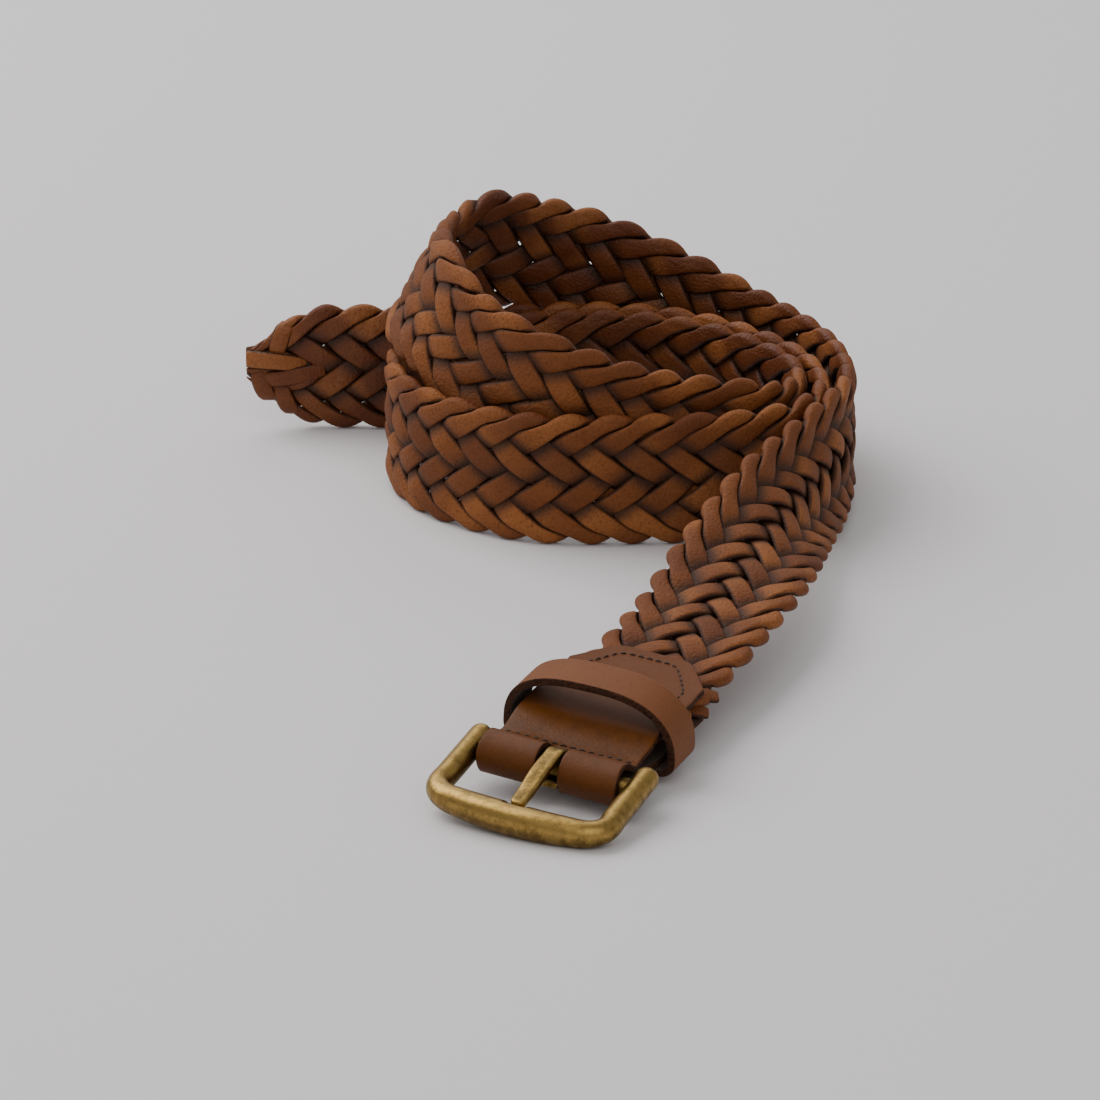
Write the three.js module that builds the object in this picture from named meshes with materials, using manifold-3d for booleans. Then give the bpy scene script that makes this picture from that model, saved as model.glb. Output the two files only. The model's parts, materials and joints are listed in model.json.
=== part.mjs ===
// A braided leather belt lying loosely coiled on its edge, its buckle end drawn out in front.
// Millimetres, +Z up, the belt resting on the plane z = 0.
import * as THREE from "three";
import Module from "manifold-3d";
import { mergeVertices } from "three/addons/utils/BufferGeometryUtils.js";

// Band
const BELT_WIDTH = 35;
const STRAND_THICKNESS = 2.2;
const BAND_THICKNESS = 2 * STRAND_THICKNESS;
const STRAND_PITCH = 10;
const SCALLOP_DEPTH = 1.2;
const BAND_SHOULDER = 0.84;
const BAND_EDGE = 0.3;
const TAIL_TAPER = 23;
const TAIL_TIP_SHARE = 0.2;
const TAPER_ROWS = 9;
const END_NARROWING = 0.88;
const END_NARROWING_RUN = 26;
const BRAID_START = 18.5;

// Coil: neighbouring layers lie one layer pitch apart
const LAYER_GAP = 0.4;
const COIL_PITCHES = 21;
const COIL_SIZE = COIL_PITCHES * (BAND_THICKNESS + LAYER_GAP);

// End leather, folded round the buckle's bar
const LEATHER = 1.6;
const LEATHER_WIDTH = 34.5;
const TAB_LENGTH = 52.5;
const TAB_END_WIDTH = 18;
const TAB_END_RUN = 12;
const TAB_CORNER = 4;
const CLEARANCE = 0.35;
const STITCH_FROM_BAR = 6.8;
const PINCH_RUN = 1;
const PINCH_GAP = 0.5;
const FOLD_STAND = 0.5;
const FOLD_OPENING = 50;
const SLOT_WIDTH = 6;
const SLOT_REACH = 5;

// Keeper
const KEEPER_WIDTH = 11;
const KEEPER_FROM_BAR = 17;
const KEEPER_LEATHER = 1.9;
const KEEPER_SIDE_ROOM = 2.6;
const KEEPER_RISE = 6.6;
const KEEPER_SQUARENESS = 2.6;
const KEEPER_CORNER = 2.6;

// Buckle
const BAR_RADIUS = 2;
const ARM_RADIUS = 2.8;
const ARM_SPACING = 41.6;
const ARM_TAIL = 7;
const FRAME_REACH = 18.9;
const FRAME_CORNER = 6;
const FRONT_RADIUS = 3.7;
const FRONT_BOW = 2.2;
const FRONT_RUN_START = 0.6;
const FRAME_DROP = 6.95;
const TONGUE_WIDTH = 4.2;
const TONGUE_THICKNESS = 1.8;
const CURL_ROOM = 0.9;
const CURL_START = -145;
const CURL_END = 100;
const TIP_SHORT = 2;
const TIP_HEIGHT = 2.3;

// Fineness
const ROUTE_SAMPLES = 4000;
const TUBE_SIDES = 12;
const ARC_STEPS = 8;
const CORNER_STEPS = 5;
const END_FLAT = 0.45;

// The band's way from the tail to the buckle. along and across are shares of COIL_SIZE,
// lift (of the lower edge) is a share of BELT_WIDTH, lean is in degrees from upright towards
// the inside of the coil, width is a share of BELT_WIDTH.
const ROUTE = [
  // tail and middle layer, back
  { along: -0.81, across: 0.9, lift: 0, lean: 0, width: 1 },
  { along: -0.6, across: 0.9, lift: 0, lean: 0, width: 1 },
  { along: -0.4, across: 0.9, lift: 0, lean: 0, width: 1 },
  { along: -0.18, across: 0.905, lift: 0, lean: 0, width: 1 },
  { along: 0.02, across: 0.92, lift: 0, lean: 0, width: 1 },
  { along: 0.2, across: 0.915, lift: 0, lean: 0, width: 1 },
  { along: 0.33, across: 0.875, lift: 0, lean: 0, width: 1 },
  { along: 0.45, across: 0.8, lift: 0, lean: 0, width: 1 },
  // middle layer, right bend
  { along: 0.56, across: 0.69, lift: 0, lean: 0, width: 1 },
  { along: 0.645, across: 0.56, lift: 0, lean: 0, width: 1 },
  { along: 0.69, across: 0.405, lift: 0, lean: 0, width: 1 },
  { along: 0.675, across: 0.25, lift: 0, lean: 0, width: 1 },
  // outer layer, front
  { along: 0.59, across: 0.135, lift: 0, lean: 0, width: 1 },
  { along: 0.45, across: 0.07, lift: 0, lean: 0, width: 1 },
  { along: 0.28, across: 0.05, lift: 0, lean: 0, width: 1 },
  { along: 0.1, across: 0.042, lift: 0, lean: 0, width: 1 },
  { along: -0.06, across: 0.062, lift: 0, lean: 0, width: 1 },
  { along: -0.205, across: 0.145, lift: 0, lean: 0, width: 1 },
  // lower left bend
  { along: -0.32, across: 0.26, lift: 0, lean: 0, width: 1 },
  { along: -0.393, across: 0.42, lift: 0, lean: 0, width: 1 },
  { along: -0.4, across: 0.575, lift: 0, lean: 0, width: 1 },
  { along: -0.335, across: 0.725, lift: 0, lean: 0, width: 1 },
  // innermost layer, back
  { along: -0.2, across: 0.815, lift: 0, lean: 0, width: 1 },
  { along: -0.03, across: 0.855, lift: 0, lean: 0, width: 1 },
  { along: 0.16, across: 0.86, lift: 0, lean: 0, width: 1 },
  { along: 0.33, across: 0.81, lift: 0, lean: 0, width: 1 },
  { along: 0.47, across: 0.71, lift: 0, lean: 0, width: 1 },
  // innermost right bend
  { along: 0.58, across: 0.575, lift: 0, lean: 0, width: 1 },
  { along: 0.635, across: 0.42, lift: 0, lean: 0, width: 1 },
  { along: 0.595, across: 0.275, lift: 0.03, lean: 0, width: 1 },
  // second front layer, climbing to the left
  { along: 0.47, across: 0.17, lift: 0.15, lean: 0, width: 1 },
  { along: 0.3, across: 0.108, lift: 0.27, lean: 0, width: 1 },
  { along: 0.12, across: 0.097, lift: 0.43, lean: 0, width: 1 },
  { along: -0.06, across: 0.125, lift: 0.63, lean: 1, width: 1 },
  { along: -0.195, across: 0.232, lift: 0.79, lean: 5, width: 1 },
  // upper left bend, standing on the layers below
  { along: -0.285, across: 0.36, lift: 0.96, lean: 15, width: 1 },
  { along: -0.33, across: 0.5, lift: 1.015, lean: 24, width: 1 },
  { along: -0.335, across: 0.645, lift: 1.02, lean: 28, width: 1 },
  { along: -0.285, across: 0.785, lift: 1.015, lean: 27, width: 1 },
  { along: -0.19, across: 0.9, lift: 1, lean: 22, width: 1 },
  { along: -0.06, across: 0.98, lift: 0.86, lean: 13, width: 1 },
  // outermost layer, back, coming down to the right
  { along: 0.09, across: 1.015, lift: 0.7, lean: 5, width: 1 },
  { along: 0.27, across: 1.005, lift: 0.49, lean: 1, width: 1 },
  { along: 0.44, across: 0.97, lift: 0.26, lean: 0, width: 1 },
  { along: 0.6, across: 0.885, lift: 0.07, lean: 0, width: 1 },
  // outermost right bend
  { along: 0.712, across: 0.72, lift: 0.005, lean: 0, width: 1 },
  { along: 0.76, across: 0.51, lift: 0, lean: 0, width: 1 },
  { along: 0.755, across: 0.31, lift: 0.02, lean: 2, width: 1 },
  // strap to the buckle, turning flat
  { along: 0.715, across: 0.15, lift: 0.06, lean: 10, width: 0.97 },
  { along: 0.65, across: -0.025, lift: 0.11, lean: 25, width: 0.92 },
  { along: 0.58, across: -0.21, lift: 0.19, lean: 43, width: 0.92 },
  { along: 0.51, across: -0.41, lift: 0.27, lean: 63, width: 0.95 },
  { along: 0.445, across: -0.59, lift: 0.32, lean: 77, width: 1 },
  { along: 0.38, across: -0.755, lift: 0.32, lean: 84, width: 1 },
  { along: 0.315, across: -0.915, lift: 0.3, lean: 86, width: 1 },
  { along: 0.24, across: -1.07, lift: 0.26, lean: 86.5, width: 1 },
  { along: 0.135, across: -1.275, lift: 0.205, lean: 86.5, width: 1 },
  { along: 0.01, across: -1.521, lift: 0.139, lean: 86.5, width: 1 },
];

// The prong's middle line between curl and tip: along is a share of the way to the tip, height
// a share of the curl's middle radius.
const PRONG = [
  { along: 0.3, height: 0.98 },
  { along: 0.55, height: 0.8 },
  { along: 0.8, height: 0.62 },
];

// Spline and route

// Second derivatives of the smooth curve through the values at the knots, both ends free.
function curvatures(knots, values) {
  const last = knots.length - 1;
  const result = new Array(last + 1).fill(0);
  const factor = new Array(last + 1).fill(0);
  for (let i = 1; i < last; i += 1) {
    const before = knots[i] - knots[i - 1];
    const after = knots[i + 1] - knots[i];
    const slopeChange = (values[i + 1] - values[i]) / after - (values[i] - values[i - 1]) / before;
    const pivot = 2 * (before + after) - before * factor[i - 1];
    factor[i] = after / pivot;
    result[i] = (6 * slopeChange - before * result[i - 1]) / pivot;
  }
  for (let i = last - 1; i > 0; i -= 1) {
    result[i] -= factor[i] * result[i + 1];
  }
  return result;
}

// A function that gives the smooth curve's value at any place along the knots.
function smoothCurve(knots, values) {
  const bend = curvatures(knots, values);
  return (at) => {
    let i = 0;
    while (i < knots.length - 2 && at > knots[i + 1]) {
      i += 1;
    }
    const span = knots[i + 1] - knots[i];
    const t = at - knots[i];
    const slope = (values[i + 1] - values[i]) / span - (span * (2 * bend[i] + bend[i + 1])) / 6;
    return values[i] + t * slope + (t * t * bend[i]) / 2 + (t ** 3 * (bend[i + 1] - bend[i])) / (6 * span);
  };
}

// The band's axes where it runs along the given direction and leans by the given angle:
// up is across the band towards its upper edge, out is away from the coil.
function bandAxes(direction, lean) {
  const upright = new THREE.Vector3(0, 0, 1).addScaledVector(direction, -direction.z).normalize();
  const outward = new THREE.Vector3().crossVectors(upright, direction);
  const angle = THREE.MathUtils.degToRad(lean);
  const up = upright.clone().multiplyScalar(Math.cos(angle)).addScaledVector(outward, -Math.sin(angle));
  const out = outward.clone().multiplyScalar(Math.cos(angle)).addScaledVector(upright, Math.sin(angle));
  return { up, out };
}

function directions(points) {
  return points.map((point, i) => {
    const next = points[Math.min(i + 1, points.length - 1)];
    const previous = points[Math.max(i - 1, 0)];
    return new THREE.Vector3().subVectors(next, previous).normalize();
  });
}

// The centre line of the band as finely spaced samples with axes, width share and distance.
function bandRoute() {
  const rows = ROUTE.map((row) => ({
    x: row.along * COIL_SIZE,
    y: row.across * COIL_SIZE,
    z: row.lift * BELT_WIDTH,
    lean: row.lean,
    width: row.width,
  }));
  const knots = [0];
  for (let i = 1; i < rows.length; i += 1) {
    const a = rows[i - 1];
    const b = rows[i];
    knots.push(knots[i - 1] + Math.hypot(b.x - a.x, b.y - a.y, b.z - a.z));
  }
  const curve = {};
  for (const key of ["x", "y", "z", "lean", "width"]) {
    curve[key] = smoothCurve(knots, rows.map((row) => row[key]));
  }
  const total = knots[knots.length - 1];
  const samples = [];
  for (let i = 0; i < ROUTE_SAMPLES; i += 1) {
    const at = (total * i) / (ROUTE_SAMPLES - 1);
    samples.push({
      centre: new THREE.Vector3(curve.x(at), curve.y(at), curve.z(at)),
      lean: curve.lean(at),
      width: curve.width(at),
    });
  }
  // The lower edge's height is raised to the centre's by the band's half size in z.
  directions(samples.map((sample) => sample.centre)).forEach((direction, i) => {
    const { up, out } = bandAxes(direction, samples[i].lean);
    samples[i].rise =
      (BELT_WIDTH / 2) * samples[i].width * Math.abs(up.z) + (BAND_THICKNESS / 2) * Math.abs(out.z);
  });
  samples.forEach((sample) => {
    sample.centre.z += sample.rise;
  });
  let distance = 0;
  directions(samples.map((sample) => sample.centre)).forEach((direction, i) => {
    const sample = samples[i];
    Object.assign(sample, bandAxes(direction, sample.lean), { direction });
    distance += i ? sample.centre.distanceTo(samples[i - 1].centre) : 0;
    sample.distance = distance;
  });
  return samples;
}

const route = bandRoute();
const routeLength = route[route.length - 1].distance;

// The route's sample at a distance from the tail tip, blended between its neighbours.
function routeAt(distance) {
  let low = 0;
  let high = route.length - 1;
  while (high - low > 1) {
    const middle = Math.floor((low + high) / 2);
    if (route[middle].distance <= distance) {
      low = middle;
    } else {
      high = middle;
    }
  }
  const a = route[low];
  const b = route[high];
  const share = (distance - a.distance) / (b.distance - a.distance);
  return {
    centre: a.centre.clone().lerp(b.centre, share),
    up: a.up.clone().lerp(b.up, share).normalize(),
    out: a.out.clone().lerp(b.out, share).normalize(),
    width: a.width + (b.width - a.width) * share,
  };
}

// Solids

const wasm = await Module();
wasm.setup();

function toSolid(geometry) {
  const bare = geometry.index ? geometry.toNonIndexed() : geometry.clone();
  bare.deleteAttribute("normal");
  bare.deleteAttribute("uv");
  const merged = mergeVertices(bare, 1e-4);
  return new wasm.Manifold(
    new wasm.Mesh({
      numProp: 3,
      vertProperties: new Float32Array(merged.attributes.position.array),
      triVerts: new Uint32Array(merged.index.array),
    }),
  );
}

function toGeometry(solid) {
  const mesh = solid.getMesh();
  const geometry = new THREE.BufferGeometry();
  geometry.setAttribute("position", new THREE.BufferAttribute(mesh.vertProperties, 3));
  geometry.setIndex(new THREE.BufferAttribute(mesh.triVerts, 1));
  return geometry;
}

// A shape pushed out straight in the given number of rows, each of its points then moved by
// place(x, y, share), where share runs from 0 to 1 along the push.
function bentExtrusion(shape, rows, place) {
  const geometry = new THREE.ExtrudeGeometry(shape, { depth: 1, steps: rows, bevelEnabled: false });
  const position = geometry.attributes.position;
  for (let i = 0; i < position.count; i += 1) {
    const point = place(position.getX(i), position.getY(i), position.getZ(i));
    position.setXYZ(i, point.x, point.y, point.z);
  }
  return geometry;
}

// Braid

const braidEnd = routeLength - BRAID_START;
const bodyRows = Math.round((2 * (braidEnd - TAIL_TAPER)) / STRAND_PITCH);
const braidRows = TAPER_ROWS + bodyRows;

// The distance along the route of a row: close rows in the tail's taper, two a pitch after it.
function rowDistance(row) {
  if (row <= TAPER_ROWS) {
    return (TAIL_TAPER * row) / TAPER_ROWS;
  }
  return TAIL_TAPER + ((braidEnd - TAIL_TAPER) * (row - TAPER_ROWS)) / bodyRows;
}

// Half the band's width at a row: strand tips stand out on every second row.
function halfWidth(row, distance, widthShare) {
  const taper = Math.sin((Math.PI / 2) * Math.min(1, distance / TAIL_TAPER));
  const tail = TAIL_TIP_SHARE + (1 - TAIL_TIP_SHARE) * taper;
  const toEnd = Math.min(1, Math.max(0, (routeLength - distance - BRAID_START) / END_NARROWING_RUN));
  const narrow = END_NARROWING + (1 - END_NARROWING) * THREE.MathUtils.smoothstep(toEnd, 0, 1);
  const valley = row > TAPER_ROWS && (row - TAPER_ROWS) % 2 === 1 ? SCALLOP_DEPTH : 0;
  return (BELT_WIDTH / 2) * widthShare * tail * narrow - valley;
}

// The band's section, both coordinates from -1 to 1: rounded strand turns at the two edges.
const bandSection = new THREE.Shape([
  new THREE.Vector2(1, BAND_EDGE),
  new THREE.Vector2(BAND_SHOULDER, 1),
  new THREE.Vector2(-BAND_SHOULDER, 1),
  new THREE.Vector2(-1, BAND_EDGE),
  new THREE.Vector2(-1, -BAND_EDGE),
  new THREE.Vector2(-BAND_SHOULDER, -1),
  new THREE.Vector2(BAND_SHOULDER, -1),
  new THREE.Vector2(1, -BAND_EDGE),
]);

const braidGeometry = bentExtrusion(bandSection, braidRows, (x, y, share) => {
  const row = Math.round(share * braidRows);
  const distance = rowDistance(row);
  const at = routeAt(distance);
  return at.centre
    .addScaledVector(at.up, x * halfWidth(row, distance, at.width))
    .addScaledVector(at.out, (-y * BAND_THICKNESS) / 2);
});

// Buckle end: local x runs back along the strap from the buckle's bar, y towards the strap's
// left edge, z up out of the strap.
const endSample = route[route.length - 1];
const endPlace = new THREE.Matrix4()
  .makeBasis(endSample.direction.clone().negate(), endSample.up, endSample.out)
  .setPosition(endSample.centre);

// End leather: one strip folded round the bar, pinched together by the stitches behind it,
// then opening to hold the braid's cut ends between its two layers.
const curlInner = BAR_RADIUS + CURL_ROOM;
const foldInner = curlInner + TONGUE_THICKNESS + FOLD_STAND - LEATHER;
const holdInner = BAND_THICKNESS / 2 + CLEARANCE;
const holdStart = BRAID_START - 2 * CLEARANCE;

// Half of the strip's side line at one face: offset 0 is the inner face, LEATHER the outer one.
function foldLine(offset) {
  const points = [
    new THREE.Vector2(TAB_LENGTH, holdInner + offset),
    new THREE.Vector2(holdStart, holdInner + offset),
    new THREE.Vector2(STITCH_FROM_BAR + PINCH_RUN, PINCH_GAP / 2 + offset),
    new THREE.Vector2(STITCH_FROM_BAR - PINCH_RUN, PINCH_GAP / 2 + offset),
  ];
  const radius = foldInner + offset;
  const start = THREE.MathUtils.degToRad(FOLD_OPENING);
  for (let i = 0; i <= ARC_STEPS; i += 1) {
    const angle = start + ((Math.PI - start) * i) / ARC_STEPS;
    points.push(new THREE.Vector2(radius * Math.cos(angle), radius * Math.sin(angle)));
  }
  return points;
}

function mirrored(points) {
  return points.slice(0, -1).reverse().map((point) => new THREE.Vector2(point.x, -point.y));
}

const outerLine = foldLine(LEATHER);
const innerLine = foldLine(0);
const stripSide = new THREE.Shape([
  ...outerLine,
  ...mirrored(outerLine),
  ...[...innerLine, ...mirrored(innerLine)].reverse(),
]);
const stripGeometry = new THREE.ExtrudeGeometry(stripSide, {
  depth: LEATHER_WIDTH,
  steps: 1,
  bevelEnabled: false,
});
stripGeometry.translate(0, 0, -LEATHER_WIDTH / 2);
stripGeometry.rotateX(Math.PI / 2);

// Seen from above, the strip ends in a trapezoid with rounded corners.
function tabOutline() {
  const wide = LEATHER_WIDTH / 2 + 1;
  const corners = [
    new THREE.Vector2(-LEATHER_WIDTH, -wide),
    new THREE.Vector2(TAB_LENGTH - TAB_END_RUN, -wide),
    new THREE.Vector2(TAB_LENGTH, -TAB_END_WIDTH / 2),
    new THREE.Vector2(TAB_LENGTH, TAB_END_WIDTH / 2),
    new THREE.Vector2(TAB_LENGTH - TAB_END_RUN, wide),
    new THREE.Vector2(-LEATHER_WIDTH, wide),
  ];
  const shape = new THREE.Shape();
  corners.forEach((corner, i) => {
    const before = corners[(i + corners.length - 1) % corners.length];
    const after = corners[(i + 1) % corners.length];
    const rounding = i > 0 && i < corners.length - 1 ? TAB_CORNER : 0;
    const start = corner.clone().add(before.clone().sub(corner).setLength(rounding));
    const end = corner.clone().add(after.clone().sub(corner).setLength(rounding));
    if (i === 0) {
      shape.moveTo(start.x, start.y);
    } else {
      shape.lineTo(start.x, start.y);
    }
    if (rounding) {
      shape.quadraticCurveTo(corner.x, corner.y, end.x, end.y);
    }
  });
  return shape;
}

const tabHeight = 4 * (holdInner + LEATHER + foldInner);
const tabPlan = new THREE.ExtrudeGeometry(tabOutline(), {
  depth: tabHeight,
  steps: 1,
  curveSegments: 4,
  bevelEnabled: false,
});
tabPlan.translate(0, 0, -tabHeight / 2);
const slotLength = SLOT_REACH + foldInner + 2 * LEATHER;
const slotBox = new THREE.BoxGeometry(slotLength, SLOT_WIDTH, tabHeight);
slotBox.translate(SLOT_REACH - slotLength / 2, 0, 0);
const endLeatherGeometry = toGeometry(
  toSolid(stripGeometry).intersect(toSolid(tabPlan)).subtract(toSolid(slotBox)),
);

// Keeper: a standing loop with a flat foot under the strap and an arched top.
function keeperOutline(grow) {
  const half = LEATHER_WIDTH / 2 + KEEPER_SIDE_ROOM + grow;
  const bottom = -(holdInner + LEATHER + CLEARANCE + grow);
  const top = holdInner + LEATHER + KEEPER_RISE + grow;
  const corner = KEEPER_CORNER + grow;
  const shoulder = bottom + corner;
  const points = [];
  for (let i = 0; i <= 2 * ARC_STEPS; i += 1) {
    const angle = (Math.PI * i) / (2 * ARC_STEPS);
    const x = Math.abs(Math.cos(angle)) ** (2 / KEEPER_SQUARENESS) * Math.sign(Math.cos(angle));
    const y = Math.abs(Math.sin(angle)) ** (2 / KEEPER_SQUARENESS);
    points.push(new THREE.Vector2(half * x, shoulder + (top - shoulder) * y));
  }
  for (const side of [-1, 1]) {
    for (let i = 1; i <= ARC_STEPS / 2; i += 1) {
      const step = side < 0 ? i : ARC_STEPS / 2 - i;
      const angle = (Math.PI * step) / ARC_STEPS;
      points.push(new THREE.Vector2(
        side * (half - corner + corner * Math.cos(angle)),
        shoulder - corner * Math.sin(angle),
      ));
    }
  }
  points.pop();
  return points;
}

const keeperShape = new THREE.Shape(keeperOutline(KEEPER_LEATHER));
keeperShape.holes.push(new THREE.Path(keeperOutline(0)));
const keeperGeometry = new THREE.ExtrudeGeometry(keeperShape, {
  depth: KEEPER_WIDTH,
  steps: 1,
  bevelEnabled: false,
});
// The drawing plane turns from x, y to y, z, and the push runs back along the strap.
const drawingToStrap = new THREE.Matrix4().makeBasis(
  new THREE.Vector3(0, 1, 0),
  new THREE.Vector3(0, 0, 1),
  new THREE.Vector3(1, 0, 0),
);
keeperGeometry.applyMatrix4(drawingToStrap);
keeperGeometry.translate(KEEPER_FROM_BAR, 0, 0);

// Buckle frame: two arms and a heavier bowed front bar in one bend, and a straight thin bar.
const frameHalf = ARM_SPACING / 2;
const cornerStart = FRAME_CORNER - FRAME_REACH;
const frontHalf = frameHalf - FRAME_CORNER;

function frameLine() {
  const tip = new THREE.Vector2(ARM_TAIL, frameHalf);
  const bend = new THREE.Vector2(cornerStart, frameHalf);
  const corner = new THREE.Vector2(-FRAME_REACH, frameHalf);
  const front = new THREE.Vector2(-FRAME_REACH, frontHalf);
  const across = (point) => new THREE.Vector2(point.x, -point.y);
  const path = new THREE.CurvePath();
  path.add(new THREE.LineCurve(tip, bend));
  path.add(new THREE.QuadraticBezierCurve(bend, corner, front));
  path.add(new THREE.LineCurve(front, across(front)));
  path.add(new THREE.QuadraticBezierCurve(across(front), across(corner), across(bend)));
  path.add(new THREE.LineCurve(across(bend), across(tip)));
  return path;
}

const framePath = frameLine();
const frameLength = framePath.getLength();

function circleShape(sides) {
  const points = [];
  for (let i = 0; i < sides; i += 1) {
    const angle = (2 * Math.PI * i) / sides;
    points.push(new THREE.Vector2(Math.cos(angle), Math.sin(angle)));
  }
  return new THREE.Shape(points);
}

// The rounding at the two ends of a rod: END_FLAT at the very end, 1 from one radius on.
function endRounding(fromEnd, radius) {
  const inside = Math.min(1, fromEnd / radius);
  return Math.max(END_FLAT, Math.sqrt(1 - (1 - inside) ** 2));
}

// Rows stand closer in the rounded ends and the corners.
function frameRowPlaces() {
  const armLength = ARM_TAIL - cornerStart;
  const cornerLength = frameLength / 2 - armLength - frontHalf;
  const places = [0, 0.25, 0.6, 1].map((share) => share * ARM_RADIUS);
  for (let i = 0; i <= CORNER_STEPS; i += 1) {
    places.push(armLength + (cornerLength * i) / CORNER_STEPS);
  }
  for (const share of [0.33, 0.67, 1]) {
    places.push(armLength + cornerLength + share * frontHalf);
  }
  return [...places, ...places.slice(0, -1).reverse().map((at) => frameLength - at)];
}

const frameRows = frameRowPlaces();
const frameRod = bentExtrusion(circleShape(TUBE_SIDES), frameRows.length - 1, (x, y, share) => {
  const at = frameRows[Math.round(share * (frameRows.length - 1))];
  const centre = framePath.getPointAt(at / frameLength);
  const tangent = framePath.getTangentAt(at / frameLength);
  const across = Math.min(1, Math.abs(centre.y) / frameHalf);
  const bow = 1 - across ** 2;
  const inFront = THREE.MathUtils.smoothstep(-centre.x, FRAME_REACH * FRONT_RUN_START, FRAME_REACH);
  const swell = (FRONT_RADIUS - ARM_RADIUS) * inFront * bow;
  const radius = (ARM_RADIUS + swell) * endRounding(Math.min(at, frameLength - at), ARM_RADIUS);
  return new THREE.Vector3(
    centre.x - tangent.y * x * radius - FRONT_BOW * inFront * bow,
    centre.y + tangent.x * x * radius,
    y * radius,
  );
});
const barRod = new THREE.CylinderGeometry(BAR_RADIUS, BAR_RADIUS, ARM_SPACING, TUBE_SIDES);

// The prong's tip lies in a notch in the inner upper side of the front bar.
const tipPlace = TIP_SHORT - FRAME_REACH - FRONT_BOW;
const notchFloor = TIP_HEIGHT - TONGUE_THICKNESS / 2 - CLEARANCE;
const notchBox = new THREE.BoxGeometry(2 * FRONT_RADIUS, TONGUE_WIDTH + 2 * CLEARANCE, FRONT_RADIUS);
notchBox.translate(tipPlace - CLEARANCE + FRONT_RADIUS, 0, notchFloor + FRONT_RADIUS / 2);
const frameGeometry = toGeometry(
  toSolid(frameRod).add(toSolid(barRod)).subtract(toSolid(notchBox)),
);

// Tongue: a flat strip curled round the bar, leaving its top forwards and cranked down to the
// notch.
const curlMiddle = curlInner + TONGUE_THICKNESS / 2;

function tongueLine() {
  const line = [];
  for (let i = 0; i < 2 * ARC_STEPS; i += 1) {
    const turn = THREE.MathUtils.mapLinear(i, 0, 2 * ARC_STEPS, CURL_START, CURL_END);
    const angle = THREE.MathUtils.degToRad(turn);
    line.push(new THREE.Vector2(curlMiddle * Math.cos(angle), curlMiddle * Math.sin(angle)));
  }
  const leave = THREE.MathUtils.degToRad(CURL_END);
  const prong = new THREE.SplineCurve([
    new THREE.Vector2(curlMiddle * Math.cos(leave), curlMiddle * Math.sin(leave)),
    ...PRONG.map((row) => new THREE.Vector2(row.along * tipPlace, row.height * curlMiddle)),
    new THREE.Vector2(tipPlace, TIP_HEIGHT),
  ]);
  return [...line, ...prong.getPoints(2 * ARC_STEPS)];
}

// The outline of a strip of the given thickness about a line.
function stripOutline(line, thickness) {
  const side = (sign) => line.map((point, i) => {
    const next = line[Math.min(i + 1, line.length - 1)];
    const along = next.clone().sub(line[Math.max(i - 1, 0)]).setLength((sign * thickness) / 2);
    return new THREE.Vector2(point.x - along.y, point.y + along.x);
  });
  return new THREE.Shape([...side(1), ...side(-1).reverse()]);
}

const tongueGeometry = new THREE.ExtrudeGeometry(stripOutline(tongueLine(), TONGUE_THICKNESS), {
  depth: TONGUE_WIDTH,
  steps: 1,
  bevelEnabled: false,
});
tongueGeometry.translate(0, 0, -TONGUE_WIDTH / 2);
tongueGeometry.rotateX(Math.PI / 2);

// Assembly

const braidLeather = { color: 0x8a5738, roughness: 0.62, metalness: 0 };
const tabLeather = { color: 0x8c644e, roughness: 0.6, metalness: 0 };
const antiqueBrass = { color: 0x96803f, roughness: 0.38, metalness: 1 };

function piece(name, geometry, look) {
  const mesh = new THREE.Mesh(geometry, new THREE.MeshStandardMaterial(look));
  mesh.name = name;
  return mesh;
}

const belt = new THREE.Group();
const strapEnd = new THREE.Group();
const buckle = new THREE.Group();
belt.add(piece("braid", braidGeometry, braidLeather));
strapEnd.applyMatrix4(endPlace);
strapEnd.add(piece("end_leather", endLeatherGeometry, tabLeather));
strapEnd.add(piece("keeper", keeperGeometry, tabLeather));
buckle.rotation.y = -THREE.MathUtils.degToRad(FRAME_DROP);
buckle.add(piece("buckle_frame", frameGeometry, antiqueBrass));
buckle.add(piece("buckle_tongue", tongueGeometry, antiqueBrass));
strapEnd.add(buckle);
belt.add(strapEnd);

// The belt's box is centred over the origin and its lowest point rests on z = 0.
belt.updateMatrixWorld(true);
const box = new THREE.Box3().setFromObject(belt, true);
belt.position.set(-(box.min.x + box.max.x) / 2, -(box.min.y + box.max.y) / 2, -box.min.z);
belt.updateMatrixWorld(true);

export default belt;
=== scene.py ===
"""A braided leather belt lying loosely coiled on its edge, its brass prong buckle in front."""

import json
import math

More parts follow.
